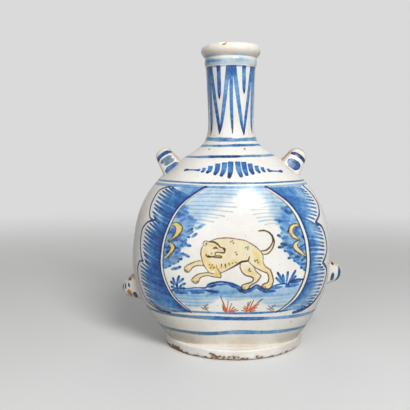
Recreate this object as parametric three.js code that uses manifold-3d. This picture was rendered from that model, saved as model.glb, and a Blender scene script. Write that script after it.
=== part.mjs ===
// Flattened faience flask, put together as a potter does it: two bowls joined rim to rim,
// then a turned foot ring, a thrown neck, a rolled lip and four pulled cord loops luted on.
// Millimetres, +Z up. The origin is the centre of the foot, on the surface that it stands on.
// The painted front faces -Y, and the seam of the two bowls lies in the plane y = 0.
import * as THREE from "three";
import { mergeVertices } from "three/addons/utils/BufferGeometryUtils.js";
import Module from "manifold-3d";

const wasm = await Module();
wasm.setup();

// Driving dimensions of the body
const WALL = 6.5;
const FLOOR_HEIGHT = 7;
const BELLY_HEIGHT = 84;
const BELLY_HALF_WIDTH = 97.2;
const BELLY_HALF_DEPTH = 66;
const BELLY_SQUARENESS = 2.4; // 2 is an ellipse, and more is fuller at the corners
const SIDE_LOWER_RISE = 101.5; // upright half-axis of the arc under the belly, seen from the front
const FRONT_LOWER_RISE = 147; // the same arc seen from the side
const SHOULDER_DROP = 14.6; // from the neck joint down to the middle of the shoulder
const SHOULDER_HALF_WIDTH = 46.7;
const SHOULDER_HALF_DEPTH = 40;
const SIDE_SHOULDER_SLOPE = 1.45; // millimetres outwards for each millimetre down
const FRONT_SHOULDER_SLOPE = 0.9;
const BELLY_FULLNESS = 50; // how far up the belly stays near its full size
const SHOULDER_FULLNESS = 22.7;

// Driving dimensions of the neck and the lip
const NECK_JOINT_HEIGHT = 196;
const NECK_LENGTH = 81;
const NECK_ROOT_RADIUS = 27.2;
const NECK_ROOT_SLOPE = 0.75; // millimetres outwards for each millimetre down
const NECK_SWEEP = 5; // reach of the curve between shoulder and neck
const NECK_WAIST_RISE = 26; // from the neck joint up to the waist
const NECK_WAIST_RADIUS = 22.4;
const NECK_TOP_RADIUS = 23.6;
const CORDON_RADIUS = 25.2;
const CORDON_HALF_HEIGHT = 3;
const LIP_ROOT_RADIUS = 24.5;
const LIP_RADIUS = 28.6;
const LIP_HEIGHT = 13;
const LIP_CREST_RADIUS = 21.5;
const BORE_RADIUS = 15.5;

// Driving dimensions of the foot
const FOOT_RADIUS = 67.5;
const FOOT_EDGE_HEIGHT = 5.5;
const FOOT_TREAD_INSET = 2.5; // how far the flat tread stays inside the outer edge
const FOOT_WIDTH = 11;
const FOOT_LEDGE_RISE = 3.8;

// Driving dimensions of the cord loops
const LOOP_HALF_SPAN = 10.5; // middle of the strap from the seam, at the roots
const LOOP_THICKNESS = 8;
const LOOP_CROWN_WIDTH = 17;
const LOOP_ROOT_DEPTH = 9; // how far the strap runs on before the body trims it
const SHOULDER_LOOP_DROP = 24; // from the neck joint down to the middle of the loop
const SHOULDER_LOOP_REACH = 14.5; // middle of the strap from the body, at the crown
const SHOULDER_LOOP_ROOT_WIDTH = 20;
const SHOULDER_LOOP_TIP = 8; // degrees up from square to the wall
const HIP_LOOP_ROOT_WIDTH = 21;
const HIP_LOOPS_HALF_BREADTH = 110.5; // both hip loops end at this distance from the axis
const LEFT_HIP_LOOP_HEIGHT = 55.5;
const RIGHT_HIP_LOOP_HEIGHT = 67;

const LUTING_GAP = 0.3; // slip between a trimmed piece and the body

// Heights that follow from these
const SHOULDER_HEIGHT = NECK_JOINT_HEIGHT - SHOULDER_DROP;
const NECK_WAIST_HEIGHT = NECK_JOINT_HEIGHT + NECK_WAIST_RISE;
const LIP_JOINT_HEIGHT = NECK_JOINT_HEIGHT + NECK_LENGTH;
const SHOULDER_LOOP_HEIGHT = NECK_JOINT_HEIGHT - SHOULDER_LOOP_DROP;

// Counts of facets
const BODY_SIDES = 64;
const CAVITY_SIDES = 48;
const ROUND_SIDES = 48;
const OUTLINE_STEPS = 6;
const FINE_STEPS = 80;
const LOOP_SIDES = 14;
const LOOP_STATIONS = 18;

const GLAZE_WHITE = 0xe9e4da;
const COBALT_TINT = 0xc9d3e2;
const STAINED_WHITE = 0xe6dccb;

/** Half-breadth of the body against height: an arc to the belly, a shoulder, and a sweep to the neck. */
function bodyOutline({ belly, lowerRise, shoulder, slope }) {
  const path = new THREE.Path();
  const floorAngle = Math.asin((FLOOR_HEIGHT - BELLY_HEIGHT) / lowerRise);
  path.absellipse(0, BELLY_HEIGHT, belly, lowerRise, floorAngle, 0, false);
  path.bezierCurveTo(
    belly,
    BELLY_HEIGHT + BELLY_FULLNESS,
    shoulder + slope * SHOULDER_FULLNESS,
    SHOULDER_HEIGHT - SHOULDER_FULLNESS,
    shoulder,
    SHOULDER_HEIGHT,
  );
  path.bezierCurveTo(
    shoulder - slope * NECK_SWEEP,
    SHOULDER_HEIGHT + NECK_SWEEP,
    NECK_ROOT_RADIUS + NECK_ROOT_SLOPE * NECK_SWEEP,
    NECK_JOINT_HEIGHT - NECK_SWEEP,
    NECK_ROOT_RADIUS,
    NECK_JOINT_HEIGHT,
  );
  return path;
}

const widthOutline = bodyOutline({
  belly: BELLY_HALF_WIDTH,
  lowerRise: SIDE_LOWER_RISE,
  shoulder: SHOULDER_HALF_WIDTH,
  slope: SIDE_SHOULDER_SLOPE,
});
const depthOutline = bodyOutline({
  belly: BELLY_HALF_DEPTH,
  lowerRise: FRONT_LOWER_RISE,
  shoulder: SHOULDER_HALF_DEPTH,
  slope: FRONT_SHOULDER_SLOPE,
});

/** An outline's points moved inwards by the wall, square to the outline, and never inside the bore. */
function innerOutline(points) {
  return points.map((point, i) => {
    const before = points[Math.max(i - 1, 0)];
    const after = points[Math.min(i + 1, points.length - 1)];
    const along = new THREE.Vector2().subVectors(after, before).normalize();
    const breadth = point.x - WALL * along.y;
    return new THREE.Vector2(Math.max(breadth, BORE_RADIUS), point.y + WALL * along.x);
  });
}

/** Half-breadth at a height, read between the points of an outline that climbs. */
function breadthAt(points, height) {
  const above = points.findIndex((point) => point.y >= height);
  if (above === 0) return points[0].x;
  if (above < 0) return points[points.length - 1].x;
  const low = points[above - 1];
  const high = points[above];
  return THREE.MathUtils.mapLinear(height, low.y, high.y, low.x, high.x);
}

/** How square the section is at a height: full round at the neck joint, squarest at the belly. */
function squarenessAt(height) {
  const towardsNeck = THREE.MathUtils.smoothstep(height, BELLY_HEIGHT, NECK_JOINT_HEIGHT);
  return THREE.MathUtils.lerp(BELLY_SQUARENESS, 2, towardsNeck);
}

/** One level section of the flattened body, anticlockwise from +X. */
function sectionRing({ height, halfWidth, halfDepth, sides }) {
  const power = 2 / squarenessAt(height);
  const rounded = (value) => Math.sign(value) * Math.abs(value) ** power;
  return Array.from({ length: sides }, (_, j) => {
    const turn = (2 * Math.PI * j) / sides;
    const x = halfWidth * rounded(Math.cos(turn));
    const y = halfDepth * rounded(Math.sin(turn));
    return new THREE.Vector3(x, y, height);
  });
}

/** A closed surface over a stack of rings, with a fan over each end. */
function skin(rings) {
  const sides = rings[0].length;
  const points = rings.flat();
  const faces = [];
  rings.slice(1).forEach((_, i) => {
    for (let j = 0; j < sides; j++) {
      const a = i * sides + j;
      const b = i * sides + ((j + 1) % sides);
      faces.push(a, b, b + sides, a, b + sides, a + sides);
    }
  });
  const cap = (ring, first, reversed) => {
    const middle = ring.reduce((sum, p) => sum.add(p), new THREE.Vector3());
    points.push(middle.divideScalar(sides));
    for (let j = 0; j < sides; j++) {
      const edge = [first + j, first + ((j + 1) % sides)];
      faces.push(points.length - 1, ...(reversed ? edge.reverse() : edge));
    }
  };
  cap(rings[0], 0, true);
  cap(rings[rings.length - 1], (rings.length - 1) * sides, false);
  return new THREE.BufferGeometry().setFromPoints(points).setIndex(faces);
}

/** A closed geometry as a solid that can be joined and cut. */
function solidOf(geometry) {
  const bare = geometry.clone();
  bare.deleteAttribute("normal");
  bare.deleteAttribute("uv");
  const merged = mergeVertices(bare, 1e-4);
  return new wasm.Manifold(
    new wasm.Mesh({
      numProp: 3,
      vertProperties: new Float32Array(merged.attributes.position.array),
      triVerts: new Uint32Array(merged.index.array),
    }),
  );
}

/** A cut solid as a geometry again. */
function geometryOf(solid) {
  const mesh = solid.getMesh();
  const geometry = new THREE.BufferGeometry();
  geometry.setAttribute("position", new THREE.BufferAttribute(mesh.vertProperties, 3));
  geometry.setIndex(new THREE.BufferAttribute(mesh.triVerts, 1));
  geometry.computeVertexNormals();
  return geometry;
}

/** A closed profile of radius and height turned about the upright axis. */
function turned(profile) {
  const outline = profile.getPoints(OUTLINE_STEPS);
  return new THREE.LatheGeometry(outline, ROUND_SIDES).rotateX(Math.PI / 2);
}

/** The outside of the two bowls together, as one solid, grown sideways by an allowance. */
function bodySolid(allowance) {
  const depths = depthOutline.getPoints(FINE_STEPS);
  const rings = widthOutline.getPoints(OUTLINE_STEPS).map(({ x, y }) =>
    sectionRing({
      height: y,
      halfWidth: x + allowance,
      halfDepth: breadthAt(depths, y) + allowance,
      sides: BODY_SIDES,
    }),
  );
  if (allowance > 0) rings[0].forEach((point) => (point.z -= allowance));
  return solidOf(skin(rings));
}

/** The hollow inside the bowls, open upwards into the neck. */
function cavitySolid() {
  const floor = FLOOR_HEIGHT + WALL;
  const widths = innerOutline(widthOutline.getPoints(FINE_STEPS));
  const depths = innerOutline(depthOutline.getPoints(FINE_STEPS));
  const heights = innerOutline(widthOutline.getPoints(OUTLINE_STEPS)).map((point) => point.y);
  const levels = [floor, ...heights.filter((height) => height > floor + 1)];
  const rings = levels.map((height) =>
    sectionRing({
      height,
      halfWidth: breadthAt(widths, height),
      halfDepth: breadthAt(depths, height),
      sides: CAVITY_SIDES,
    }),
  );
  rings.push(
    sectionRing({
      height: NECK_JOINT_HEIGHT + WALL,
      halfWidth: BORE_RADIUS,
      halfDepth: BORE_RADIUS,
      sides: CAVITY_SIDES,
    }),
  );
  return solidOf(skin(rings));
}

/** One of the two bowls: the shell on one side of the seam, -1 for the front and 1 for the back. */
function bowl(shell, side) {
  const reach = 4 * Math.max(BELLY_HALF_WIDTH, BELLY_HALF_DEPTH, NECK_JOINT_HEIGHT);
  const half = new THREE.BoxGeometry(reach, reach, reach).translate(0, (side * reach) / 2, 0);
  return geometryOf(shell.intersect(solidOf(half)));
}

/** The neck: root, waist and the cordon under the lip, with its bore. */
function neckGeometry() {
  const cordonHeight = LIP_JOINT_HEIGHT - 1.5 * CORDON_HALF_HEIGHT;
  const cordonFoot = cordonHeight - CORDON_HALF_HEIGHT;
  const cordonTop = cordonHeight + CORDON_HALF_HEIGHT;
  const profile = new THREE.Path();
  profile.moveTo(BORE_RADIUS, NECK_JOINT_HEIGHT);
  profile.lineTo(NECK_ROOT_RADIUS, NECK_JOINT_HEIGHT);
  profile.bezierCurveTo(
    NECK_ROOT_RADIUS - NECK_ROOT_SLOPE * NECK_SWEEP,
    NECK_JOINT_HEIGHT + NECK_SWEEP,
    NECK_WAIST_RADIUS,
    (NECK_JOINT_HEIGHT + NECK_WAIST_HEIGHT) / 2,
    NECK_WAIST_RADIUS,
    NECK_WAIST_HEIGHT,
  );
  profile.quadraticCurveTo(
    NECK_WAIST_RADIUS,
    (NECK_WAIST_HEIGHT + cordonFoot) / 2,
    NECK_TOP_RADIUS,
    cordonFoot,
  );
  profile.quadraticCurveTo(CORDON_RADIUS, cordonFoot, CORDON_RADIUS, cordonHeight);
  profile.quadraticCurveTo(CORDON_RADIUS, cordonTop, LIP_ROOT_RADIUS, cordonTop);
  profile.lineTo(LIP_ROOT_RADIUS, LIP_JOINT_HEIGHT);
  profile.lineTo(BORE_RADIUS, LIP_JOINT_HEIGHT);
  profile.lineTo(BORE_RADIUS, NECK_JOINT_HEIGHT);
  return turned(profile);
}

/** The lip: a fat roll of clay round the mouth. */
function lipGeometry() {
  const top = LIP_JOINT_HEIGHT + LIP_HEIGHT;
  const widest = LIP_JOINT_HEIGHT + LIP_HEIGHT / 2;
  const profile = new THREE.Path();
  profile.moveTo(BORE_RADIUS, LIP_JOINT_HEIGHT);
  profile.lineTo(LIP_ROOT_RADIUS, LIP_JOINT_HEIGHT);
  profile.quadraticCurveTo(LIP_RADIUS, LIP_JOINT_HEIGHT + LIP_HEIGHT / 8, LIP_RADIUS, widest);
  profile.quadraticCurveTo(LIP_RADIUS, top, LIP_CREST_RADIUS, top);
  profile.quadraticCurveTo(BORE_RADIUS, top, BORE_RADIUS, widest);
  profile.lineTo(BORE_RADIUS, LIP_JOINT_HEIGHT);
  return turned(profile);
}

/** The foot: a round ring with a flat tread, whose ledge shows where the body is flattened. */
function footGeometry(trimmer) {
  const tread = FOOT_RADIUS - FOOT_TREAD_INSET;
  const inside = FOOT_RADIUS - FOOT_WIDTH;
  const profile = new THREE.Path();
  profile.moveTo(inside, 0);
  profile.lineTo(tread, 0);
  profile.quadraticCurveTo(FOOT_RADIUS, 0, FOOT_RADIUS, FOOT_EDGE_HEIGHT / 2);
  profile.quadraticCurveTo(FOOT_RADIUS, FOOT_EDGE_HEIGHT, tread, FOOT_EDGE_HEIGHT + FOOT_TREAD_INSET / 2);
  profile.lineTo(inside, FOOT_EDGE_HEIGHT + FOOT_LEDGE_RISE);
  profile.lineTo(inside, 0);
  return geometryOf(solidOf(turned(profile)).subtract(trimmer));
}

/** How far the wall's outward direction tips up at a height, in radians. */
function wallLean(height) {
  const outline = widthOutline.getPoints(FINE_STEPS);
  const step = WALL / 2;
  const growth = breadthAt(outline, height + step) - breadthAt(outline, height - step);
  return Math.atan2(-growth, 2 * step);
}

/** The reach of a hip loop at a height, from the breadth where both hip loops end. */
function hipReach(height) {
  const lean = wallLean(height);
  const thick = (LOOP_THICKNESS / 2) * Math.cos(lean);
  const wide = (LOOP_CROWN_WIDTH / 2) * Math.sin(lean);
  const wall = breadthAt(widthOutline.getPoints(FINE_STEPS), height);
  return (HIP_LOOPS_HALF_BREADTH - wall - Math.hypot(thick, wide)) / Math.cos(lean);
}

/** A cord loop in its own frame: +X out of the body, +Y across the seam, +Z along the cord. */
function loopGeometry(reach, rootWidth) {
  const middles = Array.from({ length: LOOP_STATIONS + 1 }, (_, i) => {
    const turn = Math.PI * (i / LOOP_STATIONS - 0.5);
    const swing = Math.sign(turn) * Math.abs(Math.sin(turn)) ** 0.6;
    const out = (reach + LOOP_ROOT_DEPTH) * Math.cos(turn) - LOOP_ROOT_DEPTH;
    return new THREE.Vector3(out, LOOP_HALF_SPAN * swing, 0);
  });
  const rings = middles.map((middle, i) => {
    const before = middles[Math.max(i - 1, 0)];
    const after = middles[Math.min(i + 1, LOOP_STATIONS)];
    const along = new THREE.Vector3().subVectors(after, before).normalize();
    const outwards = new THREE.Vector3(along.y, -along.x, 0);
    const rooted = 1 - THREE.MathUtils.smoothstep(middle.x, 0, reach);
    const width = THREE.MathUtils.lerp(LOOP_CROWN_WIDTH, rootWidth, rooted);
    return Array.from({ length: LOOP_SIDES }, (_, j) => {
      const angle = (2 * Math.PI * j) / LOOP_SIDES;
      const point = middle.clone();
      point.addScaledVector(outwards, (LOOP_THICKNESS / 2) * Math.cos(angle));
      point.z -= (width / 2) * Math.sin(angle);
      return point;
    });
  });
  return skin(rings);
}

/** A loop mesh on one side of the body, -1 for the left, trimmed to the wall that it sits on. */
function loopMesh({ name, side, height, reach, rootWidth, tip = 0 }) {
  const lean = wallLean(height) + THREE.MathUtils.degToRad(tip);
  const wall = breadthAt(widthOutline.getPoints(FINE_STEPS), height);
  const mesh = pieceMesh(name, loopGeometry(reach, rootWidth), GLAZE_WHITE, 0.22);
  mesh.position.set(side * wall, 0, height);
  mesh.rotation.y = side > 0 ? -lean : Math.PI + lean;
  mesh.updateMatrix();
  const placed = solidOf(mesh.geometry.applyMatrix4(mesh.matrix));
  mesh.geometry = geometryOf(placed.subtract(trimmer)).applyMatrix4(mesh.matrix.clone().invert());
  return mesh;
}

/** A named mesh with its own glaze. */
function pieceMesh(name, geometry, color, roughness) {
  const material = new THREE.MeshStandardMaterial({ color, roughness, metalness: 0 });
  const mesh = new THREE.Mesh(geometry, material);
  mesh.name = name;
  return mesh;
}

const shell = bodySolid(0).subtract(cavitySolid());
const trimmer = bodySolid(LUTING_GAP);

const flask = new THREE.Group();
flask.add(
  pieceMesh("front_bowl", bowl(shell, -1), COBALT_TINT, 0.2),
  pieceMesh("back_bowl", bowl(shell, 1), COBALT_TINT, 0.2),
  pieceMesh("foot_ring", footGeometry(trimmer), GLAZE_WHITE, 0.35),
  pieceMesh("neck_tube", neckGeometry(), COBALT_TINT, 0.2),
  pieceMesh("lip_roll", lipGeometry(), STAINED_WHITE, 0.3),
);
for (const [word, side, hipHeight] of [
  ["left", -1, LEFT_HIP_LOOP_HEIGHT],
  ["right", 1, RIGHT_HIP_LOOP_HEIGHT],
]) {
  flask.add(
    loopMesh({
      name: `shoulder_loop_${word}`,
      side,
      height: SHOULDER_LOOP_HEIGHT,
      reach: SHOULDER_LOOP_REACH,
      rootWidth: SHOULDER_LOOP_ROOT_WIDTH,
      tip: SHOULDER_LOOP_TIP,
    }),
    loopMesh({
      name: `hip_loop_${word}`,
      side,
      height: hipHeight,
      reach: hipReach(hipHeight),
      rootWidth: HIP_LOOP_ROOT_WIDTH,
    }),
  );
}

export default flask;
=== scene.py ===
"""Dressed scene of a flattened faience bottle: painted tin glaze, four cord loops and a turned foot."""

import logging
import math
from dataclasses import dataclass, field, replace
from enum import Enum
from functools import cached_property
from typing import Protocol, Sequence

import bpy
import numpy as np
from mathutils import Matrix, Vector


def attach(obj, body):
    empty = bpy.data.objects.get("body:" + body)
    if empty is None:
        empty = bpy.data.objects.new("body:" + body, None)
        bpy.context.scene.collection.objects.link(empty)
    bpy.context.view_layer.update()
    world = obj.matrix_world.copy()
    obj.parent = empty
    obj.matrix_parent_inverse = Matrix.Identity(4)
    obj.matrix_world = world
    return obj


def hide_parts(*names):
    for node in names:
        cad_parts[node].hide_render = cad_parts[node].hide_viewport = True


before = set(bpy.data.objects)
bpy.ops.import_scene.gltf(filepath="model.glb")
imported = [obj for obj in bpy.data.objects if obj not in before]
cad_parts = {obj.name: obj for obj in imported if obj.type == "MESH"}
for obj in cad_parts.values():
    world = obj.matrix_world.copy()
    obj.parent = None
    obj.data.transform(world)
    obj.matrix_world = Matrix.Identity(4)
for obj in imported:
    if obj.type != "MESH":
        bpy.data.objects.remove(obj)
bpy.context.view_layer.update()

LOG = logging.getLogger("faience_bottle")
# Metres in a millimetre.
MM = 0.001
# The edge distance, in millimetres, of points that no mark reaches.
FAR = -9.0
# How far past its edge a mark is worked out, in millimetres.
MARGIN = 1.6

Array = np.ndarray
Colour = tuple[float, float, float, float]
Points = Sequence[Sequence[float]]
Place = tuple[float, float, float]
Triple = tuple[Array, Array, Array]
Socket = bpy.types.NodeSocket
Value = float | Socket


class Side(Enum):
    """The two faces of the flattened body, by the azimuth of their middle in degrees."""

    FRONT = 0.0
    BACK = 180.0


class Pigment(Enum):
    """The pigments that the painter lays with an edge."""

    COBALT = 0
    NAVY = 1
    BROWN = 2
    OCHRE = 3
    RUST = 4


def srgb(red: float, green: float, blue: float) -> Colour:
    """Gives a linear colour for screen values from 0 to 255."""

    def linear(value: float) -> float:
        """Undoes the screen curve of one channel."""
        part = value / 255.0
        return part / 12.92 if part <= 0.04045 else ((part + 0.055) / 1.055) ** 2.4

    return (linear(red), linear(green), linear(blue), 1.0)


def smoothstep(low: float, high: float, value: Array) -> Array:
    """Eases from 0 at low to 1 at high."""
    part = np.clip((value - low) / (high - low), 0.0, 1.0)
    return part * part * (3.0 - 2.0 * part)


def bezier(controls: Points, steps: int) -> Array:
    """Samples a Bezier curve of any degree.

    Args:
        controls: The control points.
        steps: How many spans to cut the curve into.

    Returns:
        The points along the curve, both ends included.
    """
    t = np.linspace(0.0, 1.0, steps + 1)[:, None]
    points = [np.asarray(control, float)[None, :] for control in controls]
    while len(points) > 1:
        points = [(1.0 - t) * a + t * b for a, b in zip(points, points[1:])]
    return points[0]


def smooth_path(points: Points, step: float) -> Array:
    """Runs a smooth curve through drawn points.

    Args:
        points: The points that the curve passes through.
        step: The largest distance between samples.

    Returns:
        The sampled curve.
    """
    drawn = np.asarray(points, float)
    if len(drawn) == 1:
        return np.vstack([drawn, drawn + 1e-3])
    ends = np.vstack([2 * drawn[0] - drawn[1], drawn, 2 * drawn[-1] - drawn[-2]])
    pieces = []
    for before, start, end, after in zip(ends, ends[1:], ends[2:], ends[3:]):
        count = max(2, math.ceil(float(np.linalg.norm(end - start)) / step))
        t = (np.arange(count) / count)[:, None]
        bend = 2 * before - 5 * start + 4 * end - after
        twist = -before + 3 * start - 3 * end + after
        pieces.append(0.5 * (2 * start + (end - before) * t + bend * t**2 + twist * t**3))
    return np.vstack([*pieces, drawn[-1:]])


def run_lengths(path: Array) -> Array:
    """Gives the length along a path at each of its points."""
    return np.concatenate([[0.0], np.cumsum(np.linalg.norm(np.diff(path, axis=0), axis=1))])


def inside_distance(spots: Array, outline: Array) -> Array:
    """Measures how far flat spots lie inside a closed outline.

    Args:
        spots: The spots to measure.
        outline: The corners of the outline.

    Returns:
        The distance to the outline, negative outside it.
    """
    nearest = np.full(len(spots), np.inf)
    odd = np.zeros(len(spots), bool)
    for start, end in zip(outline, np.roll(outline, -1, axis=0)):
        run = end - start
        part = np.clip((spots - start) @ run / max(float(run @ run), 1e-9), 0.0, 1.0)
        gap = spots - start - part[:, None] * run
        nearest = np.minimum(nearest, np.hypot(gap[:, 0], gap[:, 1]))
        if start[1] != end[1]:
            crosses = (start[1] > spots[:, 1]) != (end[1] > spots[:, 1])
            meets = start[0] + (spots[:, 1] - start[1]) / (end[1] - start[1]) * (end[0] - start[0])
            odd ^= crosses & (spots[:, 0] < meets)
    return np.where(odd, nearest, -nearest)


def spread(lengths: Array, density: Array, count: int) -> Array:
    """Places stations along a run, closer together where the density is higher.

    Args:
        lengths: The length along the run at each sample.
        density: How densely each sample wants stations.
        count: How many stations to place.

    Returns:
        The stations, as positions in the list of samples.
    """
    steps = np.diff(lengths) * (density[1:] + density[:-1]) / 2
    weight = np.concatenate([[0.0], np.cumsum(steps)])
    return np.interp(np.linspace(0.0, weight[-1], count), weight, np.arange(len(lengths)))


@dataclass(frozen=True)
class BottleShape:
    """The outlines of the bottle in millimetres, shared by every piece and every drawing."""

    floor: float = 7.0
    wall: float = 6.5
    belly_height: float = 84.0
    belly_half_width: float = 97.2
    belly_half_depth: float = 66.0
    belly_squareness: float = 2.4
    side_lower_rise: float = 101.5
    front_lower_rise: float = 147.0
    shoulder_height: float = 181.4
    shoulder_half_width: float = 46.7
    shoulder_half_depth: float = 40.0
    side_shoulder_slope: float = 1.45
    front_shoulder_slope: float = 0.9
    belly_fullness: float = 50.0
    shoulder_fullness: float = 22.7
    neck_joint: float = 196.0
    neck_root_radius: float = 27.2
    neck_root_slope: float = 0.75
    neck_sweep: float = 5.0
    neck_waist_height: float = 222.0
    neck_waist_radius: float = 22.4
    neck_top_height: float = 269.5
    neck_top_radius: float = 24.7
    cordon_radius: float = 25.5
    cordon_half_height: float = 3.0
    lip_joint: float = 277.0
    lip_root_radius: float = 25.2
    bore_radius: float = 15.5
    sag: float = 2.3
    pinch: float = 0.025

    def _outline(self, belly: float, rise: float, shoulder: float, slope: float) -> Array:
        """Traces the half-breadth of the body against height.

        Args:
            belly: Half-breadth at the belly.
            rise: Height of the ellipse under the belly.
            shoulder: Half-breadth at the shoulder.
            slope: How fast the shoulder draws in.

        Returns:
            Points of half-breadth and height, climbing.
        """
        turn = np.linspace(math.asin((self.floor - self.belly_height) / rise), 0.0, 240)
        lower = np.stack([belly * np.cos(turn), self.belly_height + rise * np.sin(turn)], axis=1)
        top, full = self.shoulder_height, self.shoulder_fullness
        upper = bezier(
            (
                (belly, self.belly_height), (belly, self.belly_height + self.belly_fullness),
                (shoulder + slope * full, top - full), (shoulder, top),
            ),
            240,
        )
        sweep = self.neck_sweep
        throat = bezier(
            (
                (shoulder, top), (shoulder - slope * sweep, top + sweep),
                (self.neck_root_radius + self.neck_root_slope * sweep, self.neck_joint - sweep),
                (self.neck_root_radius, self.neck_joint),
            ),
            80,
        )
        return np.vstack([lower, upper[1:], throat[1:]])

    @cached_property
    def neck_outline(self) -> Array:
        """Points of radius and height up the neck, from the body joint to the lip joint."""
        root, waist, top = self.neck_root_radius, self.neck_waist_radius, self.neck_top_radius
        joint, sweep, high = self.neck_joint, self.neck_sweep, self.neck_top_height
        half = self.cordon_half_height
        swell = bezier(
            (
                (root, joint), (root - self.neck_root_slope * sweep, joint + sweep),
                (waist, joint + (self.neck_waist_height - joint) / 2), (waist, self.neck_waist_height),
            ),
            60,
        )
        shaft = bezier(
            ((waist, self.neck_waist_height), (waist, (self.neck_waist_height + high) / 2), (top, high)),
            80,
        )
        rise = bezier(((top, high), (self.cordon_radius, high), (self.cordon_radius, high + half)), 16)
        fall = bezier(
            (
                (self.cordon_radius, high + half), (self.cordon_radius, high + 2 * half),
                (self.lip_root_radius, high + 2 * half + 0.02),
            ),
            16,
        )
        return np.vstack([swell, shaft[1:], rise[1:], fall[1:], [[self.lip_root_radius, self.lip_joint]]])

    @cached_property
    def widths(self) -> Array:
        """The outline of the whole bottle as seen from the front."""
        body = self._outline(
            self.belly_half_width,
            self.side_lower_rise,
            self.shoulder_half_width,
            self.side_shoulder_slope,
        )
        return np.vstack([body, self.neck_outline[1:]])

    @cached_property
    def depths(self) -> Array:
        """The outline of the whole bottle as seen from the side."""
        body = self._outline(
            self.belly_half_depth,
            self.front_lower_rise,
            self.shoulder_half_depth,
            self.front_shoulder_slope,
        )
        return np.vstack([body, self.neck_outline[1:]])

    def half_width(self, height: Array) -> Array:
        """Half-breadth at a height, seen from the front."""
        return np.interp(height, self.widths[:, 1], self.widths[:, 0])

    def half_depth(self, height: Array) -> Array:
        """Half-breadth at a height, seen from the side."""
        return np.interp(height, self.depths[:, 1], self.depths[:, 0])

    def squareness(self, height: Array) -> Array:
        """How square the section is: 2 is round."""
        towards_neck = smoothstep(self.belly_height, self.neck_joint, np.asarray(height, float))
        return self.belly_squareness + (2.0 - self.belly_squareness) * towards_neck

    def point(self, azimuth: Array, height: Array, inset: float = 0.0) -> Array:
        """Finds points of the wall.

        Args:
            azimuth: Turn from the middle of the front, in degrees, rightwards.
            height: Height of each point.
            inset: How deep under the outer face the points lie.

        Returns:
            The points, one row each.
        """
        turn = np.radians(azimuth)
        across, out = np.sin(turn), np.cos(turn)
        power = self.squareness(height)
        wide, deep = self.half_width(height) - inset, self.half_depth(height) - inset
        radius = ((np.abs(across) / wide) ** power + (np.abs(out) / deep) ** power) ** (-1.0 / power)
        return np.stack([radius * across, -radius * out, np.broadcast_to(height, radius.shape)], axis=-1)

    def wall_lean(self, height: float) -> float:
        """How far the side wall's outward direction tips up at a height, in radians."""
        step = self.wall / 2
        growth = float(self.half_width(height + step) - self.half_width(height - step))
        return math.atan2(-growth, 2 * step)

    def sway(self, points: Array) -> Array:
        """Gives points the slight unevenness of a hand-made pot, alike for every piece.

        Args:
            points: The true points, in millimetres.

        Returns:
            The points, moved a little sideways.
        """
        x, y, z = points.T
        held = smoothstep(10.0, 40.0, z)[:, None]
        pull = 0.16 * np.sin(z / 9.1 + 0.6 * np.sin(x / 31.0 + 1.0))
        pull += 0.13 * np.sin(z / 15.7 + y / 23.0 + x / 41.0)
        dent = 0.22 * np.sin(x / 26.0 + 0.7) * np.sin(z / 34.0 + y / 28.0) - 0.2
        lean = 0.25 * np.sin(z / 70.0 + 0.4) - 0.7 * smoothstep(195.0, 288.0, z)
        reach = np.maximum(np.hypot(x, y), 1.0)[:, None]
        outward = np.stack([x, y, np.zeros_like(x)], axis=1) / reach
        shift = outward * (pull + dent)[:, None] + np.stack([lean, 0 * x, 0 * x], axis=1)
        sag = self.sag * (1.0 - smoothstep(10.0, 48.0, z))
        pinch = self.pinch * smoothstep(8.0, 14.0, z) * (1.0 - smoothstep(22.0, 60.0, z))
        return points + held * shift + np.stack([sag - pinch * x, 0 * x, 0 * x], axis=1)


class Chart(Protocol):
    """A flat drawing surface that wraps onto part of the bottle."""

    def lift(self, flat: Array) -> Array:
        """Lifts flat points onto the clay."""


@dataclass(frozen=True)
class PanelChart:
    """Drawing surface of one face, as seen square on: across and up, in millimetres."""

    shape: BottleShape
    side: Side

    @property
    def facing(self) -> float:
        """1 on the front, and -1 on the back, where left and right change places."""
        return 1.0 if self.side is Side.FRONT else -1.0

    def lift(self, flat: Array) -> Array:
        """Lifts flat points onto the clay."""
        across, height = flat[:, 0], flat[:, 1]
        power = self.shape.squareness(height)
        part = np.clip(np.abs(across) / self.shape.half_width(height), 0.0, 0.9995)
        out = self.shape.half_depth(height) * (1.0 - part**power) ** (1.0 / power)
        return np.stack([self.facing * across, -self.facing * out, height], axis=1)

    def flatten(self, points: Array) -> Array:
        """Gives the drawing position of points on the clay."""
        return np.stack([self.facing * points[:, 0], points[:, 2]], axis=1)


@dataclass(frozen=True)
class TurnChart:
    """Drawing surface that runs round the bottle: degrees from the front, and height."""

    shape: BottleShape

    def lift(self, flat: Array) -> Array:
        """Lifts flat points onto the clay."""
        return self.shape.point(flat[:, 0], flat[:, 1])


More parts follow.
